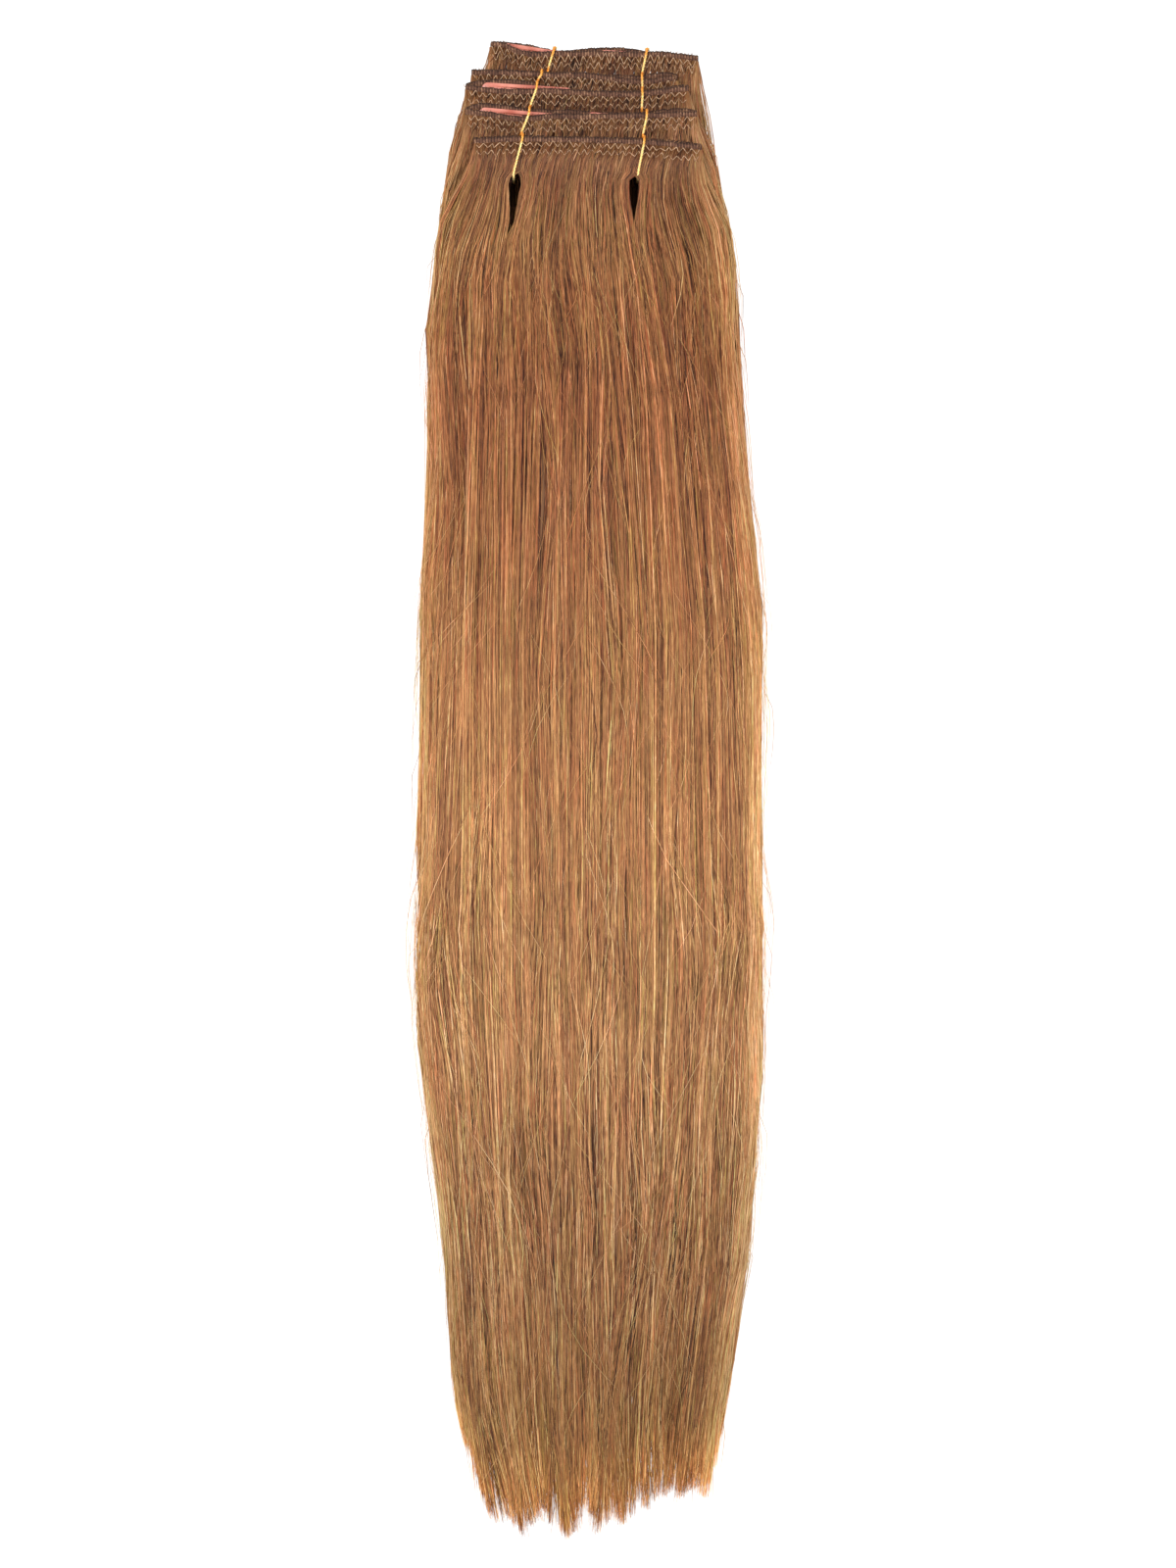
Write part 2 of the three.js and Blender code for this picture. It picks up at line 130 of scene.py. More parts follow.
@dataclass(frozen=True)
class Bundle:
    """The sizes that the whole stack shares, in millimetres, and the surfaces between its layers.

    down, left and right give the outline seen from above; tip_x and tip_y give the line of the longest
    tips; along, thick, rounded and bedded give how the layers thin out towards the tips.
    """

    hair_length: float = 508.0
    crown: float = 0.45
    seam_width: float = 80.0
    seam_height: float = 7.2
    seam_pitch: float = 9.4
    ply: float = 1.1
    clearance: float = 0.3
    clip_thickness: float = 1.7
    thread: float = 1.0
    fan_out: float = 55.0
    slit_drop: float = 14.2
    slit_length: float = 18.4
    slit_width: float = 5.0
    slit_reach: float = 9.0
    slit_lean: float = 4.0
    slit_stations: tuple[float, ...] = (
        0.0, 0.014, 0.021, 0.0255, 0.031, 0.038, 0.047, 0.058, 0.072, 0.1, 0.18, 0.36, 0.62, 0.86, 1.0,
    )
    down: tuple[float, ...] = (
        -33.0, -26.0, -15.6, 2.2, 11.5, 20.0, 25.8, 34.3, 52.1, 70.0, 87.8, 105.7, 123.5, 141.3, 159.2,
        177.0, 212.7, 248.3, 266.2, 284.0, 301.8, 319.7, 337.5, 355.3, 373.2, 391.0, 408.8, 426.7, 444.5,
        462.4, 476.6, 494.5, 508.0,
    )
    left: tuple[float, ...] = (
        38.0, 40.8, 46.2, 50.0, 50.9, 52.2, 52.9, 54.4, 56.9, 59.7, 60.4, 58.4, 57.5, 58.4, 60.6, 61.5, 61.5,
        61.5, 63.5, 66.1, 65.8, 63.1, 60.8, 58.8, 56.5, 53.9, 52.2, 51.5, 50.5, 48.2, 45.1, 41.5, 39.4,
    )
    right: tuple[float, ...] = (
        40.2, 41.4, 42.4, 44.9, 45.9, 47.3, 49.0, 51.1, 53.8, 53.2, 54.5, 56.4, 58.3, 60.7, 62.2, 63.9, 64.7,
        62.4, 63.4, 66.3, 65.6, 63.3, 62.5, 62.1, 61.5, 59.8, 58.8, 54.2, 52.2, 48.9, 47.2, 45.2, 44.1,
    )
    tip_x: tuple[float, ...] = (
        -45.1, -43.3, -41.6, -39.8, -37.6, -35.5, -32.6, -30.9, -28.4, -26.2, -24.8, -23.0, -19.8, -17.3,
        -14.8, -12.7, -10.2, -7.3, -4.8, -2.0, 0.2, 2.0, 4.1, 6.2, 8.4, 10.9, 14.4, 17.3, 20.9, 23.7, 26.9,
        30.1, 33.4, 36.6, 39.4, 42.3, 44.8, 46.5, 48.7,
    )
    tip_y: tuple[float, ...] = (
        465.0, 475.0, 483.0, 488.0, 492.0, 500.5, 504.8, 500.2, 504.5, 505.5, 509.5, 505.5, 503.8, 499.1,
        499.1, 504.8, 509.1, 508.4, 505.5, 498.0, 501.6, 499.8, 509.1, 504.5, 499.5, 505.5, 502.0, 496.2,
        498.7, 494.8, 493.0, 490.2, 496.2, 491.9, 490.2, 494.8, 490.9, 485.5, 467.6,
    )
    along: tuple[float, ...] = (-0.07, 0.0, 0.03, 0.065, 0.11, 0.17, 0.25, 0.4, 0.59, 0.77, 0.91, 1.0)
    thick: tuple[float, ...] = (1.0, 1.0, 1.0, 0.9, 0.8, 0.7, 0.65, 0.62, 0.6, 0.53, 0.42, 0.32)
    rounded: tuple[float, ...] = (0.0, 0.0, 0.0, 0.25, 0.5, 0.8, 1.0, 1.0, 1.0, 1.0, 1.0, 1.0)
    bedded: tuple[float, ...] = (1.0, 1.0, 1.0, 1.0, 0.4, 0.0, 0.0, 0.0, 0.0, 0.0, 0.0, 0.0)

    @property
    def fold_gap(self) -> float:
        """The room between a seam's two plies."""
        return self.clip_thickness + 2 * self.clearance

    @property
    def weft_thickness(self) -> float:
        """A folded seam's thickness."""
        return 2 * self.ply + self.fold_gap

    @property
    def weft_step(self) -> float:
        """The height from one seam to the next."""
        return self.weft_thickness + self.clearance

    @property
    def bed(self) -> float:
        """The height of the lowest seam above the surface, where the threads pass under it."""
        return self.thread + 2 * self.clearance

    def column(self, values: Sequence[float], y: Array) -> Array:
        """Interpolates one column of the layers' table.

        Args:
            values: The column, one value for each station in along.
            y: Heights below the front seam's top, negative downwards.

        Returns:
            The column's value at each height.
        """
        return np.interp(-y / self.hair_length, self.along, values)

    def half_at(self, side: Array, y: Array) -> Array:
        """Gives the bundle's half width at a height.

        Args:
            side: Negative on the left, positive on the right.
            y: Heights below the front seam's top.

        Returns:
            The half width on that side.
        """
        left, right = np.interp(-y, self.down, self.left), np.interp(-y, self.down, self.right)
        return np.where(side < 0, left, right)

    def boundary(self, layers: float, x: Array, y: Array) -> Array:
        """Gives the height of the surface above a number of hair layers.

        Args:
            layers: How many layers lie below the surface.
            x: Places across the bundle.
            y: Heights below the front seam's top.

        Returns:
            The surface's height.
        """
        across = np.minimum(1.0, np.square(x / self.half_at(x, y)))
        arch = 1 - self.crown * self.column(self.rounded, y) * across
        lying = layers * self.weft_step * self.column(self.thick, y) * arch
        return self.bed * self.column(self.bedded, y) + lying


BUNDLE = Bundle()


@dataclass(frozen=True)
class ThreadPlan:
    """One tying thread's places on the seams, in shares of the seam's width from the middle.

    meets says where it comes down to each seam, and climbs where it goes on over that seam's edge; opening
    widens the slit that it goes down through, and aside moves that slit's middle, in millimetres.
    """

    name: str
    top: float
    meets: tuple[float, ...]
    climbs: tuple[float, ...]
    slit: float
    opening: float
    aside: float

    @property
    def slit_middle(self) -> float:
        """The place of its slit across the bundle, in millimetres."""
        return self.slit * BUNDLE.seam_width + self.aside


THREADS = (
    ThreadPlan("left", -0.158, (-0.19, -0.236, -0.27, -0.311), (-0.216, -0.237, -0.271, -0.301),
               -0.344, 1.7, 0.2),
    ThreadPlan("right", 0.264, (0.239, 0.241, 0.238, 0.241), (0.24, 0.24, 0.261, 0.25), 0.22, 1.6, -1.4),
)


@dataclass(frozen=True)
class ClipPlan:
    """One snap clip: its weft and side, how far it stands proud, its tilt in degrees, its slide aside."""

    weft: int
    side: int
    proud: float
    tilt: float
    slide: float = 0.0

    @property
    def name(self) -> str:
        """The clip's node."""
        return f"clip_{self.weft}_{'left' if self.side < 0 else 'right'}"


CLIPS = (
    ClipPlan(1, -1, 0.27, -10.5), ClipPlan(1, 1, 0.07, -2.2),
    ClipPlan(2, -1, 0.04, 0.0), ClipPlan(2, 1, -0.37, 2.0),
    ClipPlan(3, -1, 0.46, -5.5), ClipPlan(3, 1, 0.034, 4.3),
    ClipPlan(4, -1, 0.26, -7.0, -2.4), ClipPlan(4, 1, 0.02, -3.0),
    ClipPlan(5, -1, -0.01, 0.0), ClipPlan(5, 1, -0.18, -4.5),
)


def smooth(low: float, high: float, value: Array) -> Array:
    """Eases from 0 at low to 1 at high."""
    share = np.clip((value - low) / (high - low), 0.0, 1.0)
    return share * share * (3 - 2 * share)


def spline(values: Sequence[float], share: Array) -> Array:
    """Runs a smooth curve through evenly spaced values.

    Args:
        values: The values, the first at share 0 and the last at share 1.
        share: Where to read the curve.

    Returns:
        The curve's value at each share.
    """
    points = np.asarray(values, float)
    place = np.clip(share, 0.0, 1.0) * (len(points) - 1)
    index = np.minimum(place.astype(int), len(points) - 2)
    t = place - index
    padded = np.concatenate([[2 * points[0] - points[1]], points, [2 * points[-1] - points[-2]]])
    a, b, c, d = (padded[index + k] for k in range(4))
    return b + 0.5 * t * (c - a + t * (2 * a - 5 * b + 4 * c - d + t * (3 * (b - c) + d - a)))


@dataclass(frozen=True)
class Patch:
    """Where a body made of rings lies in the map.

    girth and run are the places round and along it; centre, radius and step give its two round ends;
    turned lays the run across the map.
    """

    girth: Array
    run: Array
    centre: tuple[float, float]
    radius: float
    step: tuple[float, float]
    turned: bool = False


class Draft:
    """Collects the points and faces of one mesh, with each point's numbers and each corner's map place."""

    def __init__(self) -> None:
        """Starts an empty mesh."""
        self.points: list[Array] = []
        self.numbers: list[Array] = []
        self.corners: list[Array] = []
        self.places: list[Array] = []
        self.sizes: list[Array] = []
        self.slots: list[Array] = []
        self.count = 0

    def add(self, points: Array, faces: Array, numbers: Array, places: Array, slot: int = 0) -> None:
        """Adds points and faces of one size.

        Args:
            points: One row of x, y and z for each point, in millimetres.
            faces: One row of point numbers for each face.
            numbers: One row of column and along for each point.
            places: The map place of each face corner.
            slot: The faces' material.
        """
        self.points.append(points.reshape(-1, 3))
        self.numbers.append(numbers.reshape(-1, 2))
        self.corners.append((faces + self.count).ravel())
        self.places.append(places.reshape(-1, 2))
        self.sizes.append(np.full(len(faces), faces.shape[1]))
        self.slots.append(np.full(len(faces), slot))
        self.count += len(points.reshape(-1, 3))

    def cap(self, ends: Array, places: Array, slot: int = 0) -> None:
        """Adds faces on points that the mesh has already."""
        self.add(np.empty((0, 3)), ends - self.count, np.empty((0, 2)), places, slot)

    def loft(self, body: Array, numbers: Array, patch: Patch, slot: int = 0, flip: bool = False,
             looped: bool = False) -> None:
        """Joins rings of points into a closed body.

        Args:
            body: The points, as rings by points by x, y and z.
            numbers: Each point's column and along.
            patch: Its place in the map.
            slot: Its material.
            flip: Whether the faces are turned over.
            looped: Whether the last ring joins the first, in place of two filled ends.
        """
        count, sides = body.shape[:2]
        here, after = np.arange(sides), (np.arange(sides) + 1) % sides
        rows = np.arange(count if looped else count - 1)[:, None]
        following = (rows + 1) % count
        quads = np.stack([rows * sides + here, rows * sides + after,
                          following * sides + after, following * sides + here], -1)
        girth = np.stack([patch.girth[:-1], patch.girth[1:], patch.girth[1:], patch.girth[:-1]], -1)
        run = np.stack([patch.run[:-1], patch.run[:-1], patch.run[1:], patch.run[1:]], -1)[:, None, :]
        girth, run = np.broadcast_to(girth, quads.shape), np.broadcast_to(run, quads.shape)
        places = np.stack([run, girth] if patch.turned else [girth, run], -1)
        ends = np.stack([here[::-1], (count - 1) * sides + here])
        if flip:
            quads, places, ends = quads[..., ::-1], places[..., ::-1, :], ends[:, ::-1]
        start = self.count
        self.add(body, quads.reshape(-1, 4), numbers, places, slot)
        if not looped:
            angle = 2 * math.pi * here / sides
            wheel = np.array(patch.centre) + patch.radius * np.stack([np.cos(angle), np.sin(angle)], -1)
            self.cap(ends + start, np.stack([wheel, wheel + np.array(patch.step)]), slot)

    def build(self, name: str, materials: Sequence[bpy.types.Material], lift: float) -> bpy.types.Object:
        """Makes the object.

        Args:
            name: The object's name.
            materials: Its materials, in slot order.
            lift: How far the row's origin is from the front seam's top, along Y, in millimetres.

        Returns:
            The new object, linked into the scene.
        """
        points = np.concatenate(self.points) + np.array([0.0, lift, 0.0])
        corners, sizes = np.concatenate(self.corners), np.concatenate(self.sizes)
        numbers = np.concatenate(self.numbers)
        mesh = bpy.data.meshes.new(name)
        mesh.vertices.add(len(points))
        mesh.vertices.foreach_set("co", (points * MM).astype(np.float32).ravel())
        mesh.loops.add(len(corners))
        mesh.loops.foreach_set("vertex_index", corners.astype(np.int32))
        mesh.polygons.add(len(sizes))
        starts = np.concatenate([[0], np.cumsum(sizes)[:-1]])
        mesh.polygons.foreach_set("loop_start", starts.astype(np.int32))
        mesh.polygons.foreach_set("material_index", np.concatenate(self.slots).astype(np.int32))
        mesh.update(calc_edges=True)
        mesh.shade_smooth()
        for index, label in enumerate(("column", "along")):
            layer = mesh.attributes.new(label, "FLOAT", "POINT")
            layer.data.foreach_set("value", numbers[:, index].astype(np.float32))
        uv = mesh.uv_layers.new(name=MAP_NAME, do_init=False)
        uv.uv.foreach_set("vector", np.concatenate(self.places).astype(np.float32).ravel())
        mesh.validate()
        for material in materials:
            mesh.materials.append(material)
        piece = bpy.data.objects.new(name, mesh)
        bpy.context.scene.collection.objects.link(piece)
        return piece


def tubes(draft: Draft, paths: Array, radii: Array, sides: int, turn: Array, tone: Array, along: Array,
          slot: int = 0, width: float = 1.0, shade: Array | None = None) -> None:
    """Adds closed tubes that run mostly along one direction of the bundle.

    Args:
        draft: The mesh to add to.
        paths: The tubes' middle lines, as tubes by rings by x, y and z.
        radii: The radius at each ring of each tube.
        sides: How many sides each tube has.
        turn: The angle of each tube's first side.
        tone: Each tube's column in the map.
        along: The share of its length at each ring of each tube.
        slot: The tubes' material.
        width: The share of the map that the columns fill.
        shade: A number for each ring of each tube that its material reads in place of the column.
    """
    count, rings = paths.shape[:2]
    tangent = np.gradient(paths, axis=1)
    tangent /= np.maximum(np.linalg.norm(tangent, axis=2, keepdims=True), 1e-9)
    upright = np.zeros_like(tangent)
    upright[..., 2] = 1.0
    flat = np.abs(tangent[..., 2:3]) > 0.9
    upright = np.where(flat, np.array([1.0, 0.0, 0.0]), upright)
    across = np.cross(upright, tangent)
    across /= np.linalg.norm(across, axis=2, keepdims=True)
    normal = np.cross(tangent, across)
    angles = turn[:, None] + 2 * math.pi * np.arange(sides) / sides
    ring = (np.cos(angles)[:, None, :, None] * across[:, :, None, :]
            + np.sin(angles)[:, None, :, None] * normal[:, :, None, :])
    points = paths[:, :, None, :] + radii[:, :, None, None] * ring
    numbers = np.empty((count, rings, sides, 2))
    numbers[..., 0] = (tone[:, None] if shade is None else shade)[:, :, None]
    numbers[..., 1] = along[:, :, None]
    base = (np.arange(count) * rings * sides)[:, None, None]
    step = (np.arange(rings - 1) * sides)[None, :, None]
    here, after = np.arange(sides), (np.arange(sides) + 1) % sides
    quads = np.stack([base + step + after, base + step + here,
                      base + step + here + sides, base + step + after + sides], axis=-1)
    low, high = (tone + 0.1) / TONES * width, (tone + 0.9) / TONES * width
    u = np.broadcast_to(np.stack([high, low, low, high], -1)[:, None, None, :], quads.shape)
    v0, v1 = along[:, :-1, None], along[:, 1:, None]
    v = np.broadcast_to(np.concatenate([v0, v0, v1, v1], axis=2)[:, :, None, :], quads.shape)
    draft.add(points, quads.reshape(-1, 4), numbers, np.stack([u, v], -1), slot)
    start = draft.count - count * rings * sides
    order = np.arange(sides)
    first = base[:, 0] + order
    last = base[:, 0] + (rings - 1) * sides + order[::-1]
    wheel = 0.5 + 0.4 * np.stack([np.cos(order), np.sin(order)], -1)
    for ends, v_at in ((first, along[:, 0]), (last, along[:, -1])):
        u_cap = (tone[:, None] + wheel[None, :, 0]) / TONES * width
        v_cap = np.clip(v_at[:, None] + 0.002 * wheel[None, :, 1] - 0.001, 0, 1)
        draft.cap(ends + start, np.stack([u_cap, v_cap], -1), slot)


class Nodes:
    """A short way to build a material's nodes."""

    def __init__(self, name: str) -> None:
        """Starts a material with a principled surface.

        Args:
            name: The material's name.
        """
        self.material = bpy.data.materials.new(name)
        self.material.use_nodes = True
        self.tree = self.material.node_tree
        self.surface = self.tree.nodes["Principled BSDF"]

    def add(self, kind: str, **values: object) -> bpy.types.Node:
        """Adds a node and sets its properties."""
        node = self.tree.nodes.new(kind)
        for key, value in values.items():
            setattr(node, key, value)
        return node

    def link(self, source: bpy.types.NodeSocket, target: bpy.types.NodeSocket) -> None:
        """Joins two sockets."""
        self.tree.links.new(source, target)

    def feed(self, socket: bpy.types.NodeSocket, value: object) -> None:
        """Gives a socket its value: another socket, a colour or a number."""
        if isinstance(value, bpy.types.NodeSocket):
            self.link(value, socket)
        elif isinstance(value, tuple):
            socket.default_value = (*value, 1.0)
        else:
            socket.default_value = value

    def number(self, label: str) -> bpy.types.NodeSocket:
        """Reads one of the mesh's own numbers."""
        return self.add("ShaderNodeAttribute", attribute_name=label).outputs["Fac"]

    def maths(self, operation: str, first: object, second: object = 0.0) -> bpy.types.NodeSocket:
        """Works on two numbers.

        Args:
            operation: The operation's name.
            first: A socket or a number.
            second: A socket or a number.

        Returns:
            The result's socket.
        """
        node = self.add("ShaderNodeMath", operation=operation)
        for socket, value in zip(node.inputs, (first, second)):
            self.feed(socket, value)
        return node.outputs[0]

    def vector(self, x: object, y: object, z: object = 0.0) -> bpy.types.NodeSocket:
        """Joins three numbers into a vector."""
        node = self.add("ShaderNodeCombineXYZ")
        for socket, value in zip(node.inputs, (x, y, z)):
            self.feed(socket, value)
        return node.outputs[0]

    def noise(self, vector: bpy.types.NodeSocket, scale: float, detail: float = 2.0) -> bpy.types.NodeSocket:
        """Reads a noise texture.

        Args:
            vector: Where to read it.
            scale: How fine it is.
            detail: How many octaves it has.

        Returns:
            Its factor's socket.
        """
        node = self.add("ShaderNodeTexNoise")
        node.inputs["Scale"].default_value = scale
        node.inputs["Detail"].default_value = detail
        self.link(vector, node.inputs["Vector"])
        return node.outputs["Fac"]

    def ramp(self, factor: bpy.types.NodeSocket,
             stops: Sequence[tuple[float, tuple[float, ...]]]) -> bpy.types.NodeSocket:
        """Maps a number to colours.

        Args:
            factor: The number, from 0 to 1.
            stops: Places and colours, in order.

        Returns:
            The colour's socket.
        """
        node = self.add("ShaderNodeValToRGB")
        elements = node.color_ramp.elements
        while len(elements) < len(stops):
            elements.new(0.5)
        for element, (place, colour) in zip(elements, stops):
            element.position = place
            element.color = (*colour, 1.0) if len(colour) == 3 else (colour[0],) * 3 + (1.0,)
        self.link(factor, node.inputs["Fac"])
        return node.outputs["Color"]

    def mix(self, blend: str, factor: object, first: object, second: object) -> bpy.types.NodeSocket:
        """Mixes two colours.

        Args:
            blend: The blend's name.
            factor: A socket or a number.
            first: A socket or a colour.
            second: A socket or a colour.

        Returns:
            The mixed colour's socket.
        """
        node = self.add("ShaderNodeMix", data_type="RGBA", blend_type=blend)
        for name, value in (("Factor_Float", factor), ("A_Color", first), ("B_Color", second)):
            self.feed(next(s for s in node.inputs if s.identifier == name), value)
        return next(s for s in node.outputs if s.identifier == "Result_Color")

    def bump(self, height: bpy.types.NodeSocket, strength: float, distance: float) -> None:
        """Raises the surface by a height.

        Args:
            height: The height's socket.
            strength: How much of it shows.
            distance: The height of one unit, in metres.
        """
        node = self.add("ShaderNodeBump")
        node.inputs["Strength"].default_value = strength
        node.inputs["Distance"].default_value = distance
        self.link(height, node.inputs["Height"])
        self.link(node.outputs["Normal"], self.surface.inputs["Normal"])

    def settle(self, **values: float) -> bpy.types.Material:
        """Sets the surface's plain sockets and gives the material back."""
        for key, value in values.items():
            self.surface.inputs[key.replace("_", " ")].default_value = value
        return self.material


@dataclass(frozen=True)
class HairFinish:
    """Dyed straight hair: each strand has its own tone, with drifts of tone and warmth along it, and painted
    light along its length: painted shade at the roots, a painted sheen over the middle of the length and a
    painted glow at the tips.
    """

    name: str = "hair_strands"
    tones: tuple[tuple[float, tuple[float, float, float]], ...] = (
        (0.0, (0.022, 0.006, 0.003)),
        (0.2, (0.1, 0.032, 0.014)),
        (0.45, (0.285, 0.115, 0.044)),
        (0.66, (0.46, 0.213, 0.083)),
        (0.86, (0.68, 0.365, 0.155)),
        (1.0, (0.86, 0.55, 0.29)),
    )
    # Multipliers along each strand: partly the hair's own changes of tone, partly painted light, with painted
    # shade at the roots, a painted sheen band over the middle and a painted glow at the tips.
    length_tints_and_painted_light: tuple[tuple[float, tuple[float, float, float]], ...] = (
        (0.0, (0.52, 0.48, 0.47)),
        (0.05, (0.76, 0.755, 0.73)),
        (0.09, (0.81, 0.78, 0.71)),
        (0.155, (0.775, 0.66, 0.605)),
        (0.25, (0.89, 0.79, 0.74)),
        (0.36, (1.0, 1.0, 0.96)),
        (0.5, (1.18, 1.27, 1.3)),
        (0.65, (1.14, 1.28, 1.36)),
        (0.79, (0.88, 0.93, 0.95)),
        (0.9, (0.65, 0.64, 0.575)),
        (0.945, (0.66, 0.67, 0.59)),
        (0.968, (0.81, 0.82, 0.68)),
        (0.986, (1.16, 1.12, 0.92)),
        (1.0, (2.05, 1.95, 1.65)),
    )
    contrasts: tuple[tuple[float, tuple[float]], ...] = (
        (0.03, (1.0,)), (0.08, (1.15,)), (0.2, (1.1,)), (0.4, (1.0,)), (0.66, (1.02,)), (0.78, (1.25,)),
        (0.9, (1.32,)), (0.98, (1.1,)),
    )
    warmths: tuple[tuple[float, tuple[float, float, float]], ...] = (
        (0.33, (1.15, 0.84, 0.82)), (0.5, (1.0, 1.0, 1.0)), (0.67, (0.86, 1.05, 0.76)),
    )
    roughness: float = 0.5

    def build(self) -> bpy.types.Material:
        """Makes the material."""
        nodes = Nodes(self.name)
        column, along = nodes.number("column"), nodes.number("along")
        tone = nodes.maths("DIVIDE", column, float(TONES))
        drifted = tone
        for spread, speed, amount in ((7.31, 9.0, 0.3), (13.7, 44.0, 0.55), (5.9, 120.0, 0.62)):
            place = nodes.vector(nodes.maths("MULTIPLY", column, spread),
                                 nodes.maths("MULTIPLY", along, speed))
            drift = nodes.maths("MULTIPLY", nodes.maths("SUBTRACT", nodes.noise(place, 1.0), 0.5), amount)
            drifted = nodes.maths("ADD", drifted, drift)
        offset = nodes.maths("MULTIPLY", nodes.maths("SUBTRACT", drifted, 0.5),
                             nodes.ramp(along, self.contrasts))
        drifted = nodes.maths("ADD", offset, 0.5)
        tinted = nodes.mix("MULTIPLY", 1.0, nodes.ramp(drifted, self.tones),
                           nodes.ramp(along, self.length_tints_and_painted_light))
        hue = nodes.noise(nodes.vector(nodes.maths("MULTIPLY", column, 3.17),
                                       nodes.maths("MULTIPLY", along, 12.0)), 1.0)
        warmth = nodes.ramp(hue, self.warmths)
        nodes.link(nodes.mix("MULTIPLY", 1.0, tinted, warmth), nodes.surface.inputs["Base Color"])
        return nodes.settle(Roughness=self.roughness, Specular_IOR_Level=0.25)


@dataclass(frozen=True)
class MassFinish:
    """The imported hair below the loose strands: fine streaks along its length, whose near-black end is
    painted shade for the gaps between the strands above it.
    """

    name: str = "hair_mass"
    # dark is painted shade: the near black seen in the gaps between strands.
    dark: tuple[float, float, float] = (0.04, 0.015, 0.007)
    light: tuple[float, float, float] = (0.32, 0.145, 0.06)

    def build(self) -> bpy.types.Material:
        """Makes the material."""
        nodes = Nodes(self.name)
        place = nodes.add("ShaderNodeTexCoord").outputs["Object"]
        stretch = nodes.add("ShaderNodeMapping")
        stretch.inputs["Scale"].default_value = (2200.0, 14.0, 900.0)
        nodes.link(place, stretch.inputs["Vector"])
        streaks = nodes.noise(stretch.outputs["Vector"], 1.0, 4.0)
        colour = nodes.ramp(streaks, ((0.3, self.dark), (0.7, self.light)))
        nodes.link(colour, nodes.surface.inputs["Base Color"])
        nodes.bump(streaks, 0.6, 0.0004)
        return nodes.settle(Roughness=0.55, Specular_IOR_Level=0.2)


@dataclass(frozen=True)
class SeamFinish:
    """The sewn head of a weft: dark hair bound side by side, so that it is finely ribbed, with painted shade
    in the grooves, a painted highlight on the crests and a painted shadow line along its top edge.
    """

    name: str = "seam_ribs"
    groove_shade: tuple[float, float, float] = (0.03, 0.012, 0.008)
    crest: tuple[float, float, float] = (0.13, 0.057, 0.033)
    glint: tuple[float, float, float] = (0.44, 0.25, 0.14)

    def build(self) -> bpy.types.Material:
        """Makes the material."""
        nodes = Nodes(self.name)
        rib = nodes.number("column")
        place = nodes.add("ShaderNodeTexCoord").outputs["Object"]
        fleck = nodes.noise(place, 1500.0, 3.0)
        patch = nodes.noise(place, 260.0, 2.0)
        height = nodes.maths("ADD", nodes.maths("MULTIPLY", rib, 0.55), nodes.maths("MULTIPLY", fleck, 0.45))
        height = nodes.maths("ADD", height, nodes.maths("MULTIPLY", nodes.maths("SUBTRACT", patch, 0.5), 0.5))
        # Painted light: the rib colour runs from painted shade in the grooves to a painted highlight, the
        # glint, on the crests.
        colour = nodes.ramp(height, ((0.25, self.groove_shade), (0.6, self.crest), (0.9, self.glint)))
        # Painted shadow line along the head's top edge.
        edge = nodes.ramp(nodes.number("along"), ((0.0, (0.35,)), (0.05, (0.5,)), (0.12, (1.0,))))
        nodes.link(nodes.mix("MULTIPLY", 1.0, colour, edge), nodes.surface.inputs["Base Color"])
        nodes.bump(height, 0.7, 0.0003)
        return nodes.settle(Roughness=0.7, Specular_IOR_Level=0.2)


@dataclass(frozen=True)
class StitchFinish:
    """Matt sewing thread, a little lighter than the hair."""

    name: str = "stitch_thread"
    dark: tuple[float, float, float] = (0.24, 0.13, 0.07)
    light: tuple[float, float, float] = (0.68, 0.44, 0.27)

    def build(self) -> bpy.types.Material:
        """Makes the material."""
        nodes = Nodes(self.name)
        place = nodes.add("ShaderNodeTexCoord").outputs["Object"]
        fleck = nodes.noise(place, 700.0, 3.0)
        colour = nodes.ramp(fleck, ((0.35, self.dark), (0.6, self.light)))
        nodes.link(colour, nodes.surface.inputs["Base Color"])
        nodes.bump(fleck, 0.5, 0.0001)
        return nodes.settle(Roughness=0.62, Specular_IOR_Level=0.3)


@dataclass(frozen=True)
class EnamelFinish:
    """Peach enamel on the snap clips, with faint mottling and duller patches."""

    name: str = "clip_enamel"
    deep: tuple[float, float, float] = (0.45, 0.11, 0.07)
    pale: tuple[float, float, float] = (0.68, 0.25, 0.18)

    def build(self) -> bpy.types.Material:
        """Makes the material."""
        nodes = Nodes(self.name)
        place = nodes.add("ShaderNodeTexCoord").outputs["Object"]
        mottle = nodes.noise(place, 130.0, 3.0)
        colour = nodes.ramp(mottle, ((0.35, self.deep), (0.65, self.pale)))
        nodes.link(colour, nodes.surface.inputs["Base Color"])
        rough = nodes.maths("MULTIPLY_ADD", nodes.noise(place, 600.0, 2.0), 0.25)
        rough.node.inputs[2].default_value = 0.2
        nodes.link(rough, nodes.surface.inputs["Roughness"])
        return nodes.settle(Specular_IOR_Level=0.4)


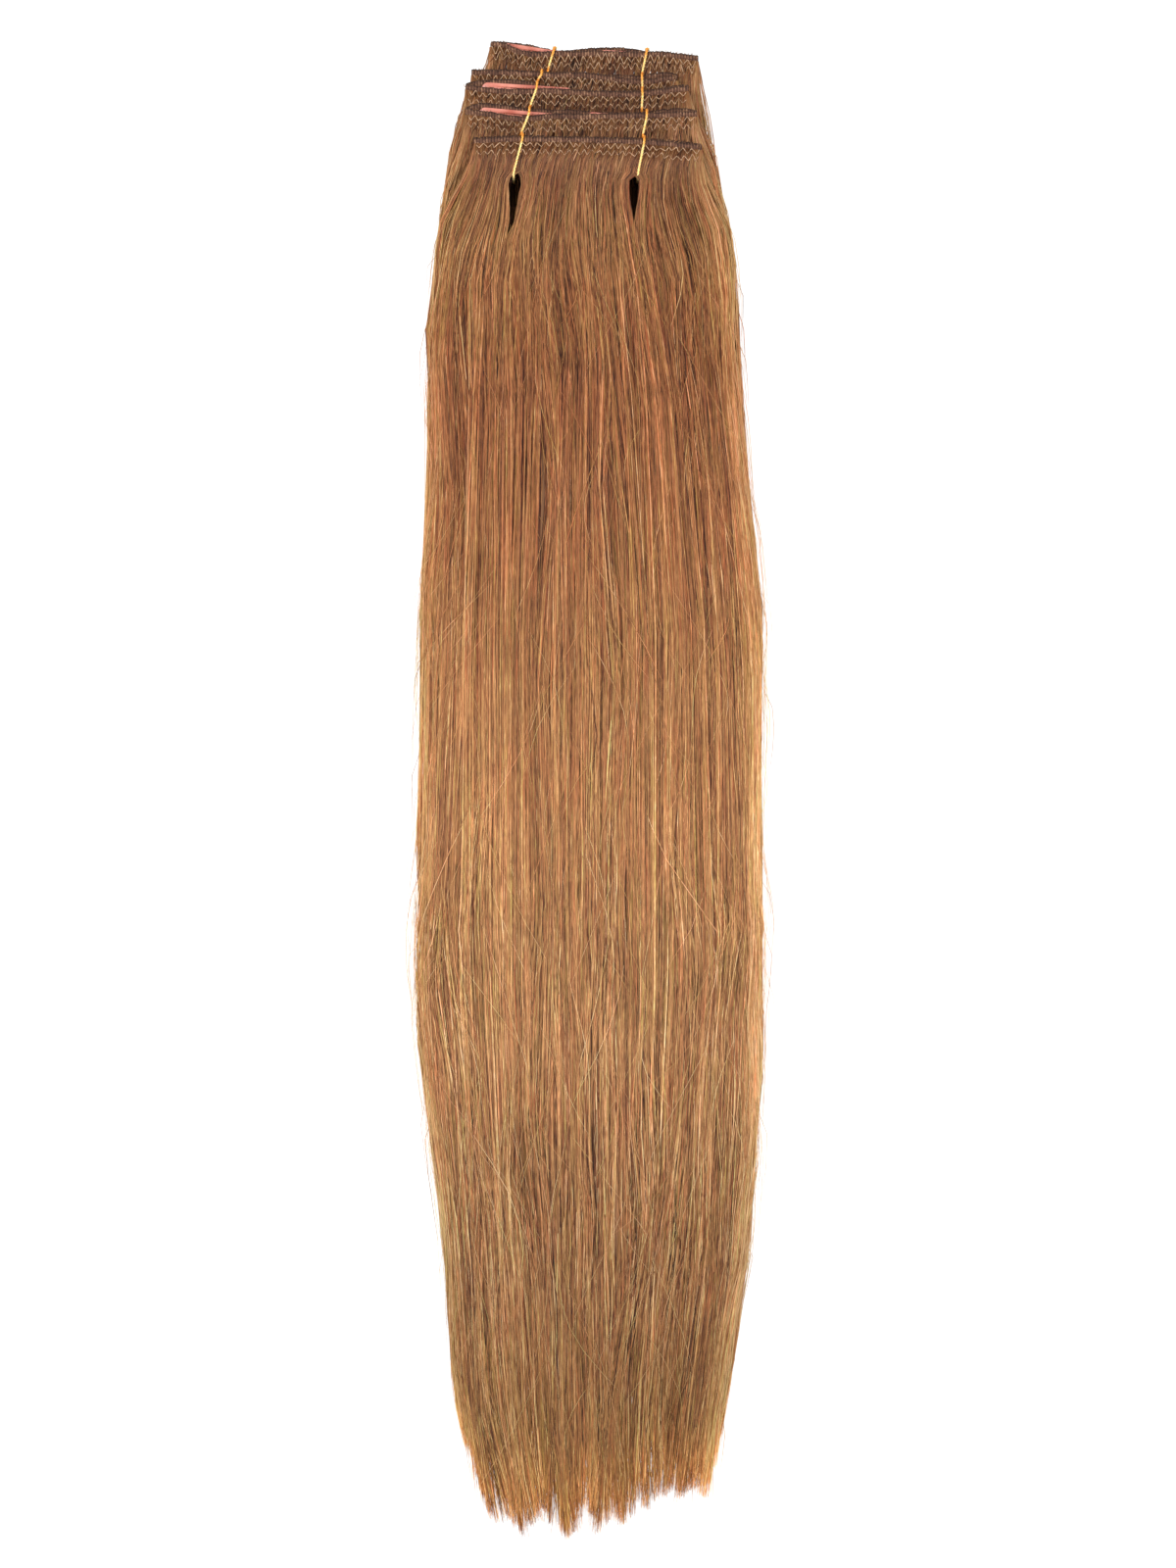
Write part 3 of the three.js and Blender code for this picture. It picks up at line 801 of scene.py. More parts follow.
@dataclass(frozen=True)
class GoldFinish:
    """Twisted metallic gold thread, with painted shade just below each seam's edge and deeper in its grooves.
    """

    name: str = "gold_thread"
    deep: tuple[float, float, float] = (0.72, 0.22, 0.025)
    mid: tuple[float, float, float] = (0.95, 0.4, 0.06)
    bright: tuple[float, float, float] = (1.0, 0.8, 0.34)

    def build(self) -> bpy.types.Material:
        """Makes the material."""
        nodes = Nodes(self.name)
        place = nodes.add("ShaderNodeTexCoord").outputs["Object"]
        foil = nodes.noise(place, 1500.0, 2.0)
        # The shade number paints shade below each seam's edge; deep is the shaded colour.
        shade = nodes.maths("MULTIPLY", nodes.number("column"), 0.45)
        factor = nodes.maths("ADD", shade, nodes.maths("MULTIPLY", nodes.maths("SUBTRACT", foil, 0.2), 0.9))
        colour = nodes.ramp(factor, ((0.12, self.deep), (0.45, self.mid), (0.8, self.bright)))
        nodes.link(colour, nodes.surface.inputs["Base Color"])
        nodes.bump(foil, 0.6, 0.0001)
        return nodes.settle(Roughness=0.36, Metallic=0.6)


@dataclass(frozen=True)
class FloorFinish:
    """Plain white card."""

    name: str = "floor_card"

    def build(self) -> bpy.types.Material:
        """Makes the material."""
        nodes = Nodes(self.name)
        place = nodes.add("ShaderNodeTexCoord").outputs["Object"]
        tooth = nodes.noise(place, 30.0, 2.0)
        nodes.link(nodes.ramp(tooth, ((0.3, (0.25,)), (0.7, (0.27,)))), nodes.surface.inputs["Base Color"])
        nodes.surface.inputs["Emission Color"].default_value = (1.0, 1.0, 1.0, 1.0)
        return nodes.settle(Roughness=0.9, Specular_IOR_Level=0.1, Emission_Strength=0.85)


@dataclass(frozen=True)
class Finishes:
    """Every material that the bundle wears."""

    hair: bpy.types.Material
    mass: bpy.types.Material
    seam: bpy.types.Material
    stitch: bpy.types.Material
    enamel: bpy.types.Material
    gold: bpy.types.Material

    @classmethod
    def make(cls) -> "Finishes":
        """Builds them all."""
        return cls(HairFinish().build(), MassFinish().build(), SeamFinish().build(),
                   StitchFinish().build(), EnamelFinish().build(), GoldFinish().build())


@dataclass
class SeamShape:
    """Where one weft's folded seam lies.

    Attributes:
        plan: The weft.
    """

    plan: WeftPlan

    @property
    def middle(self) -> float:
        """The seam's middle across the bundle."""
        return self.plan.shift * BUNDLE.seam_width

    @property
    def half(self) -> float:
        """Half the seam's width."""
        return self.plan.width * BUNDLE.seam_width / 2

    @property
    def level(self) -> float:
        """The height of the seam's underside."""
        return BUNDLE.bed + (self.plan.number - 1) * BUNDLE.weft_step

    def share(self, x: Array) -> Array:
        """The share of the seam's width at a place across it, from 0 on the left."""
        return np.clip((x - self.middle + self.half) / (2 * self.half), 0.0, 1.0)

    def edge(self, x: Array) -> Array:
        """The top edge of the front ply."""
        return self.plan.up * BUNDLE.seam_pitch + spline(self.plan.edge, self.share(x))

    def back_edge(self, x: Array) -> Array:
        """The top edge of the back ply, which stands higher."""
        return self.edge(x) + spline(self.plan.rise, self.share(x))


@dataclass
class Seam:
    """A weft's folded seam: a ribbed head, a thin sewn hem below it, and lines of zigzag stitches.

    Attributes:
        shape: Where the seam lies.
        seed: The seed of its random draws.
    """

    shape: SeamShape
    seed: int
    head: float = 2.5
    hem_share: float = 0.3
    rib_pitch: float = 1.06
    rib_rise: float = 0.07
    fold_steps: int = 13
    stitch_pitch: float = 2.7
    stitch_height: float = 1.9
    stitch_radius: float = 0.12
    stitch_drops: tuple[float, ...] = (3.0, 5.6)
    sides: int = 13

    def route(self) -> tuple[Array, Array, Array, Array]:
        """Lays out the strip from its open end over the front, round the fold and back.

        Returns:
            The middle line's x and z, its outward direction as x and z pairs, and how far round it is.
        """
        shape, fold = self.shape, self.shape.plan.fold
        bend = (BUNDLE.fold_gap + BUNDLE.ply) / 2
        opening = shape.middle - fold * shape.half
        turn = shape.middle + fold * (shape.half - bend - BUNDLE.ply / 2)
        centre = shape.level + BUNDLE.weft_thickness / 2
        steps = int(abs(turn - opening) / (self.rib_pitch / 2)) // 2 * 2
        ahead = np.linspace(opening, turn, steps, endpoint=False)
        angles = np.linspace(0, math.pi, self.fold_steps)
        x = np.concatenate([ahead, turn + fold * bend * np.sin(angles), ahead[::-1]])
        z = np.concatenate([np.full(steps, centre + bend), centre + bend * np.cos(angles),
                            np.full(steps, centre - bend)])
        nx = np.concatenate([np.zeros(steps), fold * np.sin(angles), np.zeros(steps)])
        nz = np.concatenate([np.ones(steps), np.cos(angles), -np.ones(steps)])
        behind = np.concatenate([np.zeros(steps), np.linspace(0, 1, self.fold_steps), np.ones(steps)])
        return x, z, np.stack([nx, nz], 1), behind

    def section(self) -> tuple[Array, Array]:
        """Draws the strip's cross-section: a round head and a thin hem.

        Returns:
            How far out and how far down each point is, the first in shares of half a ply.
        """
        angles = np.linspace(-0.22 * math.pi, 1.22 * math.pi, self.sides - 4)
        out = np.cos(angles)
        down = self.head / 2 - self.head / 2 * np.sin(angles)
        hem = np.array([-self.hem_share, -self.hem_share, self.hem_share, self.hem_share])
        hem_down = np.array([self.head, BUNDLE.seam_height, BUNDLE.seam_height, self.head])
        return np.concatenate([out, hem]), np.concatenate([down, hem_down])

    def strip(self, draft: Draft) -> None:
        """Adds the folded strip, with a raised rib at every other station."""
        x, z, normal, behind = self.route()
        out, down = self.section()
        rng = np.random.default_rng(self.seed)
        rib = (np.arange(len(x)) % 2).astype(float)
        rough = 1 + 0.1 * (rib - 0.5) + 0.05 * rng.standard_normal(len(x))
        top = self.shape.edge(x) * (1 - behind) + self.shape.back_edge(x) * behind
        top = top + self.rib_rise * (rib * 2 - 1) + 0.1 * rng.standard_normal(len(x))
        reach = out[None, :] * (BUNDLE.ply / 2) * rough[:, None]
        points = np.stack([x[:, None] + normal[:, None, 0] * reach,
                           top[:, None] - down[None, :],
                           z[:, None] + normal[:, None, 1] * reach], -1)
        count, sides = len(x), len(out)
        # shade makes each raised rib light and the station between them dark: painted highlight and painted
        # shade for the seam's material.
        shade = np.clip(rib[:, None] * 0.6 + 0.2 + 0.16 * rng.standard_normal((count, sides)), 0, 1)
        numbers = np.stack([shade, np.repeat(down[None, :] / BUNDLE.seam_height, count, 0)], -1)
        patch = Patch(np.linspace(0.02, 0.6, sides + 1), np.linspace(0.02, 0.98, count),
                      centre=(0.65, 0.05), radius=0.02, step=(0.0, 0.1))
        draft.loft(points, numbers, patch, flip=self.shape.plan.fold > 0)

    def stitches(self, draft: Draft) -> None:
        """Adds the zigzag lines on the front face, and on the back face as well for the first weft."""
        rng = np.random.default_rng(self.seed + 50)
        shape = self.shape
        reach = shape.half - 0.9
        count = int(2 * reach / self.stitch_pitch) * 2
        corners = np.linspace(shape.middle - reach, shape.middle + reach, count + 1)
        sign = np.where(np.arange(count + 1) % 2 == 0, 1.0, -1.0)
        share = np.array([0.07, 0.5, 0.93])
        tall = self.stitch_height / 2 * shape.plan.stitch
        for front in (True, False) if shape.plan.number == 1 else (True,):
            for line, drop in enumerate(self.stitch_drops):
                x = corners + 0.22 * rng.standard_normal(count + 1)
                swing = sign * tall * (1 + 0.28 * rng.standard_normal(count + 1))
                xs = (x[:-1, None] + (x[1:] - x[:-1])[:, None] * share).ravel()
                ys = (swing[:-1, None] + (swing[1:] - swing[:-1])[:, None] * share).ravel()
                top = shape.edge(xs) if front else shape.back_edge(xs)
                outward = 1 if front else -1
                face = BUNDLE.weft_thickness if front else 0.0
                lift = 0.2 - 0.08 * line + 0.07 * rng.standard_normal(len(xs))
                z = shape.level + face + outward * np.minimum(lift, 0.26)
                path = np.stack([xs, top - drop + ys, z], -1)[None]
                radii = np.full(path.shape[:2], self.stitch_radius)
                along = np.linspace(0, 1, path.shape[1])[None]
                column = np.array([TONES * (0.72 + 0.06 * line + (0.0 if front else 0.12))])
                tubes(draft, path, radii, 4, np.zeros(1), column, along, slot=1)

    def build(self, finishes: Finishes, lift: float) -> bpy.types.Object:
        """Makes the seam.

        Args:
            finishes: The bundle's materials.
            lift: The offset along Y from the front seam's top to the row's origin.

        Returns:
            The seam's piece.
        """
        draft = Draft()
        self.strip(draft)
        self.stitches(draft)
        name = f"seam_{self.shape.plan.number}"
        piece = draft.build(f"{name}_sewn", (finishes.seam, finishes.stitch), lift)
        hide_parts(name)
        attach(piece, BODY)
        return piece


@dataclass(frozen=True)
class Cut:
    """How one sort of strand is drawn.

    stations are the places of its rings, radius its thickness and tones how much its tone varies; lift
    brightens it and floor is its darkest tone; frayed moves its tip aside; held strands keep to the
    bundle's outline, loose ones leave their layer and slim ones narrow towards both ends.
    """

    stations: tuple[float, ...]
    radius: float
    tones: float
    lift: float = 0.0
    floor: float = 0.02
    frayed: float = 0.5
    held: bool = False
    loose: bool = False
    slim: bool = False


CUTS = {
    Tress.LONG: Cut((0, 0.012, 0.025, 0.04, 0.058, 0.08, 0.11, 0.16, 0.25, 0.39, 0.55, 0.71, 0.85, 0.94, 1.0),
                    0.172, 0.18, held=True),
    Tress.SURFACE: Cut((0.0, 0.22, 0.5, 0.78, 1.0), 0.137, 0.2, held=True, slim=True),
    Tress.ROOT: Cut((0.0, 0.12, 0.35, 0.65, 1.0), 0.15, 0.25),
    # The tip strands' lift and floor tone paint the light that shines through the thin ends.
    Tress.TIP: Cut((0.0, 0.35, 0.65, 0.86, 1.0), 0.12, 0.24, lift=0.1, floor=0.36, frayed=1.5, held=True),
    Tress.STRAY: Cut((0.0, 0.2, 0.4, 0.6, 0.8, 1.0), 0.075, 0.12, lift=0.26, loose=True, slim=True),
    Tress.FRINGE: Cut((0.0, 0.4, 0.75, 1.0), 0.12, 0.2, loose=True),
    Tress.SIDE: Cut((0.0, 0.2, 0.45, 0.72, 1.0), 0.13, 0.12, lift=0.16, loose=True, slim=True),
    Tress.FUZZ: Cut((0.0, 0.5, 1.0), 0.12, 0.26, loose=True, slim=True),
}


@dataclass
class Hair:
    """The hair of one weft: a packed core with strands over it.

    Attributes:
        shape: The seam it hangs from.
        seed: The seed of its random draws.
        counts: How many strands of each sort it has.
        splits: How many pieces its strands are shared between.
        locks: How many large gathers it has.
        clumps: How many small gathers it has.
        edge_bias: The share of strands that crowd to its sides.
        under_share: The share of long strands that hang from the back ply.
        core_start: How far below the seam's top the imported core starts, in millimetres.
        core_end: How far above core_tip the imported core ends, in millimetres.
        tip_station: Where, as a share of the length, a strand's place says which tip is its own.
    """

    shape: SeamShape
    seed: int
    counts: dict[Tress, int]
    splits: int = 1
    locks: int = 17
    clumps: int = 110
    edge_bias: float = 0.0
    under_share: float = 0.0
    core_start: float = 42.0
    core_end: float = 40.0
    core_tip: float = 486.6
    core_spread: float = 0.93
    core_rows: int = 40
    core_columns: int = 56
    tip_station: float = 0.985
    lowest: float = 0.22
    middle_tone: float = 0.47
    hair_spread: float = 0.28
    rng: np.random.Generator = field(init=False)
    lock_sway: Array = field(init=False)
    clump_sway: Array = field(init=False)
    clump_tone: Array = field(init=False)
    lock_tone: Array = field(init=False)
    lock_cut: Array = field(init=False)
    clump_cut: Array = field(init=False)
    lock_bounds: Array = field(init=False)
    clump_bounds: Array = field(init=False)

    def __post_init__(self) -> None:
        """Starts the random draws."""
        self.rng = np.random.default_rng(self.seed)
        self.lock_sway = self.rng.uniform(0, 2 * math.pi, (self.locks, 3))
        self.clump_sway = self.rng.uniform(0, 2 * math.pi, (self.clumps, 2))
        self.clump_tone = 0.026 * self.rng.standard_normal(self.clumps)
        self.lock_tone = 0.014 * self.rng.standard_normal(self.locks)
        self.lock_cut = self.rng.uniform(0, 5, self.locks)
        self.clump_cut = self.rng.uniform(0, 7, self.clumps)
        self.lock_bounds = self.bounds(self.locks)
        self.clump_bounds = self.bounds(self.clumps)

    @property
    def front(self) -> bool:
        """Whether this is the front weft, whose hair covers the rest."""
        return self.shape.plan.number == len(WEFTS)

    def bounds(self, count: int) -> Array:
        """Cuts the weft's width into uneven gathers."""
        widths = self.rng.uniform(0.5, 1.6, count)
        return np.concatenate([[0.0], np.cumsum(widths)]) / widths.sum() * 2 - 1

    def share_x(self, share: Array, y: Array, root: Array) -> Array:
        """Turns a share of the weft's width into a place across the bundle.

        Args:
            share: From -1 on the left to 1 on the right.
            y: Heights below the front seam's top.
            root: The height of the strand's root.

        Returns:
            The place across the bundle.
        """
        plan = self.shape.plan
        at_seam = self.shape.middle + share * self.shape.half
        spread = share * plan.spread * BUNDLE.half_at(share, y)
        fanned = smooth(0.0, 1.0, (root - y) / (BUNDLE.fan_out * (1 - 0.5 * np.power(np.abs(share), 6))))
        return at_seam + (spread - at_seam) * fanned

    def flow(self, share: Array, drop: Array) -> Array:
        """Leans the hair as it lies: left below the seam, then back, with long shared ripples.

        Args:
            share: The strands' shares of the width.
            drop: How far below the root each point is.

        Returns:
            The sideways move.
        """
        inner = 1 - np.power(np.abs(share), 4)
        lean = -5.6 * (1 - np.exp(-drop / 10.0)) + 4.6 * smooth(34, 84, drop)
        right = smooth(0.35, 0.7, share)
        left = smooth(-0.3, -0.6, share)
        lean_right = -4.0 * (1 - np.exp(-drop / 22.0)) + 4.4 * smooth(60, 125, drop)
        lean = lean * (1 - 0.45 * left) + right * lean_right
        if not self.front:
            lean = lean * 0.5
        ripples = (0.9 * np.sin(drop / 33 + 5 * share + 1.3) + 0.7 * np.sin(drop / 21 + 11 * share + 4.1)
                   + 0.45 * np.sin(drop / 13.5 + 19 * share + self.seed))
        return (lean + ripples * smooth(4.0, 60.0, drop)) * inner

    def part(self, x: Array, y: Array) -> Array:
        """Pushes strands aside where a thread goes down between them.

        Args:
            x: Places across the bundle, one row for each strand.
            y: Heights below the front seam's top.

        Returns:
            The places, moved.
        """
        if self.shape.plan.number == 1:
            return x
        grown = max(self.shape.plan.number / len(WEFTS), 0.85)
        length = BUNDLE.slit_length * grown
        check = -BUNDLE.slit_drop - 0.4 * length
        for thread in THREADS:
            middle = thread.slit_middle
            inside = np.clip((0.4 - BUNDLE.slit_drop - y) / length, 0.0, 1.0)
            open_half = BUNDLE.slit_width / 2 * grown * thread.opening
            gap = open_half * np.power(inside, 0.25) * np.power(1 - inside, 1.3)
            row = np.argmin(np.abs(y - check), axis=1)
            side = np.where(np.take_along_axis(x, row[:, None], 1) < middle, -1.0, 1.0)
            away = (x - middle) * side
            near = np.clip(away, 0.0, None)
            moved = middle + side * (gap + near * (1 - gap / BUNDLE.slit_reach))
            x = np.where((away < BUNDLE.slit_reach) & (gap > 0), moved, x)
        return x

    def lie(self, x: Array, y: Array, depth: Array) -> Array:
        """Finds a strand's height in its layer.

        Args:
            x: Places across the bundle.
            y: Heights below the front seam's top.
            depth: From 0 at the layer's top to 1 at its underside.

        Returns:
            The heights.
        """
        number = self.shape.plan.number
        low = BUNDLE.boundary(number - 1, x, y)
        high = BUNDLE.boundary(number, x, y) - BUNDLE.clearance
        return high + (low - high) * depth

    def roots(self, sort: Tress, count: int) -> Array:
        """Draws root shares across the weft, crowding the sides as the weft asks."""
        even = (np.arange(count) + self.rng.random(count)) / count * 2 - 1
        if sort in (Tress.ROOT, Tress.FRINGE, Tress.FUZZ):
            return even * (0.9 if sort is Tress.ROOT else 0.99)
        if sort is Tress.SIDE:
            return np.where(self.rng.random(count) < 0.65, 1.0, -1.0) * (1 - 0.12 * self.rng.random(count))
        sides = np.sign(even) * (1 - 0.3 * np.square(1 - np.abs(even)))
        pick = self.rng.random(count) < (0.45 if sort is Tress.STRAY else self.edge_bias)
        return np.where(pick, sides, even)

    def tip_of(self, share: Array, clump: Array, lock: Array) -> Array:
        """Ends each strand: gathers end at their own lengths, the middle of each one last.

        Args:
            share: The strands' root shares.
            clump: Their small gathers.
            lock: Their large gathers.

        Returns:
            The heights of their tips.
        """
        plan = self.shape.plan
        drop = np.full(len(share), self.tip_station * BUNDLE.hair_length)
        x_tip = share * plan.spread * BUNDLE.half_at(share, -drop) + self.flow(share, drop)
        line = np.interp(x_tip, BUNDLE.tip_x, BUNDLE.tip_y)
        above = plan.up * BUNDLE.seam_pitch
        off_lock = np.abs(share - self.middle(self.lock_bounds, lock)) * self.locks
        ragged = 12 * np.power(self.rng.random(len(share)), 1.7) - 0.8 * self.rng.random(len(share))
        short = self.lock_cut[lock] * 0.3 * off_lock + self.clump_cut[clump] * 0.3 + ragged - 1.0
        return above * 0.8 - line + short + (0 if self.front else 2)

    @staticmethod
    def middle(bounds: Array, index: Array) -> Array:
        """The middle of each strand's gather."""
        return (bounds[index] + bounds[index + 1]) / 2

    def strands(self, draft: Draft, sort: Tress, count: int) -> None:
        """Adds one sort of strand.

        Args:
            draft: The mesh to add to.
            sort: The sort.
            count: How many.
        """
        if count == 0:
            return
        rng, cut, plan = self.rng, CUTS[sort], self.shape.plan
        share = self.roots(sort, count)
        lock = np.clip(np.searchsorted(self.lock_bounds, share) - 1, 0, self.locks - 1)
        clump = np.clip(np.searchsorted(self.clump_bounds, share) - 1, 0, self.clumps - 1)
        tip = self.tip_of(share, clump, lock)
        behind = rng.random(count) < (self.under_share if sort is Tress.LONG else 0.0)
        x_root = self.shape.middle + share * self.shape.half
        edge = np.where(behind, self.shape.back_edge(x_root), self.shape.edge(x_root))
        root = edge - 2.0 - 0.4 * rng.random(count)
        start, end = self.span(sort, root, tip, edge)
        t = np.array(cut.stations)
        slits = np.array([thread.slit_middle for thread in THREADS])
        off_slit = np.abs(x_root[:, None] - slits - BUNDLE.slit_lean).min(1)
        by_slit = off_slit < BUNDLE.slit_reach
        if sort in (Tress.SURFACE, Tress.STRAY):
            below = -BUNDLE.slit_drop - BUNDLE.slit_length * rng.uniform(0.7, 1.1, count)
            start, end = (np.where(by_slit, np.minimum(value, below - gap), value)
                          for value, gap in ((start, 0.0), (end, 40.0)))
        steps = np.where(by_slit[:, None], BUNDLE.slit_stations, t) if sort is Tress.LONG else t
        y = start[:, None] + (end - start)[:, None] * steps
        drop = root[:, None] - y
        whole = np.clip(drop / (root - tip)[:, None], 0, 1)
        to_tip = np.maximum(y - tip[:, None], 0)
        lock_middle, clump_middle = self.middle(self.lock_bounds, lock), self.middle(self.clump_bounds, clump)
        gather = 0.1 * np.sin(whole * math.pi) + 0.16 * smooth(12.0, 0.0, to_tip)
        loose = share[:, None] + (clump_middle - share)[:, None] * gather
        loose = loose + (lock_middle - share)[:, None] * 0.06 * smooth(16.0, 0.0, to_tip)
        x = self.share_x(loose, y, root[:, None]) + self.flow(share[:, None], drop)
        away = smooth(3.0, 50.0, drop)
        lock_sway, clump_sway = self.lock_sway[lock], self.clump_sway[clump]
        own = rng.uniform(0, 2 * math.pi, (count, 3))
        bend = (0.8 * np.sin(drop / 30.0 + lock_sway[:, :1]) + 0.5 * np.sin(drop / 15.0 + lock_sway[:, 1:2])
                + 0.5 * np.sin(drop / 20.0 + clump_sway[:, :1]) + 0.3 * np.sin(drop / 9.0 + clump_sway[:, 1:])
                + 0.6 * np.sin(drop / 26.0 + own[:, :1]) + 0.25 * np.sin(drop / 9.0 + own[:, 1:2]))
        tilt = rng.normal(0, 0.08, count)[:, None] * (1.6 if sort is Tress.ROOT else 1.0)
        bend = bend * away + tilt * np.minimum(drop, 26.0) * (1 - smooth(20, 90, drop))
        x = x + bend + cut.frayed * rng.standard_normal(count)[:, None] * smooth(26.0, 0.0, to_tip)
        limit = BUNDLE.half_at(x, y) + 0.5 * rng.standard_normal(count)[:, None]
        over = np.abs(x) - limit
        if cut.held:
            x = np.where((over > 0) & (drop > 4), np.sign(x) * (limit + 0.12 * over), x)
        depth = self.depth_of(sort, behind, t, own, drop)
        if cut.loose:
            x = x + self.wander(sort, share, t, y)
        if sort is Tress.STRAY:
            out = rng.uniform(0.6, 3.4, count)[:, None] * np.sin(np.clip(t, 0.1, 1.0) * 2.2)
            x = np.clip(x, -(BUNDLE.half_at(x, y) + out), BUNDLE.half_at(x, y) + out)
        x = self.part(x, y) if sort is not Tress.FRINGE else x
        z = self.lie(x, y, depth)
        lumps = 0.2 * np.sin(x / 3.7 + 2.1 * np.sin(y / 90.0)) + 0.1 * np.sin(x / 1.7 + y / 60.0)
        z = z + (lumps * away if self.front else 0.0) + self.rise(sort, t, drop, count)
        z = np.maximum(z, self.lowest)
        radius = cut.radius * np.exp(self.hair_spread * rng.standard_normal(count))
        slim = np.minimum(0.8 + drop / 20.0, 1.0) * (0.45 + 0.55 * np.clip(to_tip / 14.0, 0, 1))
        if cut.slim:
            slim = slim * (0.35 + 0.65 * np.sqrt(np.sin(np.clip(t, 0.03, 0.97) * math.pi)))
        slim = np.where(t == t[-1], slim * 0.5, slim)
        radii = radius[:, None] * slim
        rim = smooth(0.88, 1.0, np.abs(share))
        weft_share = 1.0 if sort in (Tress.ROOT, Tress.FUZZ) else 0.3
        tone = self.middle_tone + plan.tone * weft_share + self.clump_tone[clump] + self.lock_tone[lock]
        tone = tone + cut.tones * (1 - 0.4 * rim) * rng.standard_normal(count)
        # Strands near the sides are lighter: partly painted rim light, partly the paler fine hair at the
        # edges.
        tone = tone + (0.2 if self.front else 0.3) * rim + cut.lift
        # Painted shade: long strands beside a slit, in wefts 3 and 4 and deep in the front weft, get a dark
        # tone for the shade inside the slit.
        if sort is Tress.LONG and plan.number > 2:
            slit_shaded = (off_slit < 0.7 * BUNDLE.slit_reach) & (not self.front or depth[:, 8] > 0.2)
            tone = np.where(slit_shaded, 0.2 if self.front else 0.1, tone)
        tone = np.floor(np.clip(tone, cut.floor, 0.98) * TONES)
        turn = rng.uniform(0, 2 * math.pi, count)
        tubes(draft, np.stack([x, y, z], -1), radii, 3, turn, tone, whole, width=STRAND_SHARE)

    def span(self, sort: Tress, root: Array, tip: Array, edge: Array) -> tuple[Array, Array]:
        """Says where each strand starts and ends.

        Args:
            sort: The strands' sort.
            root: The heights of their roots.
            tip: The heights of their tips.
            edge: The heights of the seam's edge at their roots.

        Returns:
            The heights of their starts and ends.
        """
        rng, count = self.rng, len(root)
        if sort is Tress.SURFACE:
            length = rng.uniform(40, 125, count)
            start = root - 6 - rng.random(count) * (root - tip - length - 16)
            return start, start - length
        if sort is Tress.ROOT:
            return root, root - rng.uniform(14, 21, count)
        if sort is Tress.TIP:
            return tip + rng.uniform(70, 120, count), tip
        if sort is Tress.STRAY:
            length = rng.uniform(20, 70, count)
            start = root - 8 - rng.random(count) * (root - tip - length - 2)
            return start, start - length
        if sort is Tress.FRINGE:
            return edge - 1.6, edge + rng.uniform(0.1, 0.75, count)
        if sort is Tress.SIDE:
            return root, root - rng.uniform(30, 80, count)
        if sort is Tress.FUZZ:
            start = edge - rng.uniform(1.4, 5.0, count)
            return start, start - rng.uniform(2.0, 4.5, count)
        return root, tip

    def depth_of(self, sort: Tress, behind: Array, t: Array, own: Array, drop: Array) -> Array:
        """Says how deep in its layer each point of each strand lies.

        Args:
            sort: The strands' sort.
            behind: Which strands hang from the back ply.
            t: The share of the strand at each ring.
            own: Each strand's own random angles.
            drop: How far below the root each point is.

        Returns:
            The depths.
        """
        rng, count = self.rng, len(behind)
        if sort is Tress.SURFACE:
            return 0.1 * rng.random(count)[:, None] + 0.4 * np.power(np.abs(2 * t - 1), 3) - 0.03
        if CUTS[sort].loose:
            return np.zeros((count, len(t)))
        depth = np.where(behind, 0.85 + 0.15 * rng.random(count), 0.5 * np.square(rng.random(count)))[:, None]
        weave = 0.1 * np.sin(drop / 22.0 + own[:, 2:]) * (~behind)[:, None]
        settled = np.maximum(smooth(5, 24, drop), behind[:, None])
        if sort is Tress.ROOT:
            return 0.5 * smooth(12, 26, drop)
        return np.maximum(depth + weave, 0.0) * settled

    def wander(self, sort: Tress, share: Array, t: Array, y: Array) -> Array:
        """Sends stray strands across or out of the rest.

        Args:
            sort: The strands' sort.
            share: Their shares of the width.
            t: The share of the strand at each ring.
            y: Their heights below the front seam's top.

        Returns:
            The sideways move.
        """
        rng, count = self.rng, len(share)
        if sort is Tress.FRINGE:
            return rng.normal(0, 0.5, count)[:, None] * t
        if sort is Tress.SIDE:
            return (np.sign(share) * rng.uniform(-0.4, 1.0, count))[:, None] * np.sin(t * math.pi)
        if sort is Tress.FUZZ:
            slope = rng.normal(0, 0.35, count)[:, None] * (y[:, :1] - y)
            return slope + rng.normal(0, 0.3, count)[:, None] * t * t
        slope = rng.normal(0, 0.28, count)[:, None] * np.minimum(y[:, :1] - y, 50)
        bow = rng.normal(0, 2.5, count)[:, None] * np.sin(t * math.pi)
        across = slope + bow
        outer = np.abs(share)[:, None] > 0.9
        out = 0.3 + 0.5 * np.abs(bow) + 0.1 * np.abs(slope)
        return np.where(outer, np.sign(share)[:, None] * out, across)

    def rise(self, sort: Tress, t: Array, drop: Array, count: int) -> Array:
        """Lifts strands: off the seam's hem at the root, and strays above the rest."""
        rng = self.rng
        if sort is Tress.STRAY:
            return (0.15 + 0.9 * rng.random(count)[:, None]) * np.sqrt(np.sin(np.clip(t, 0.0, 1.0) * math.pi))
        if sort is Tress.FRINGE:
            return -0.25 - 0.5 * rng.random(count)[:, None] * t
        if sort is Tress.SIDE:
            return 0.1 * rng.random(count)[:, None] - 0.2 * (1 - smooth(4, 20, drop))
        if sort is Tress.FUZZ:
            return 0.04 + (0.12 + 0.26 * rng.random(count)[:, None]) * np.sin(t * math.pi)
        return -(0.05 + 0.22 * rng.random(count)[:, None]) * (1 - smooth(4, 20, drop))

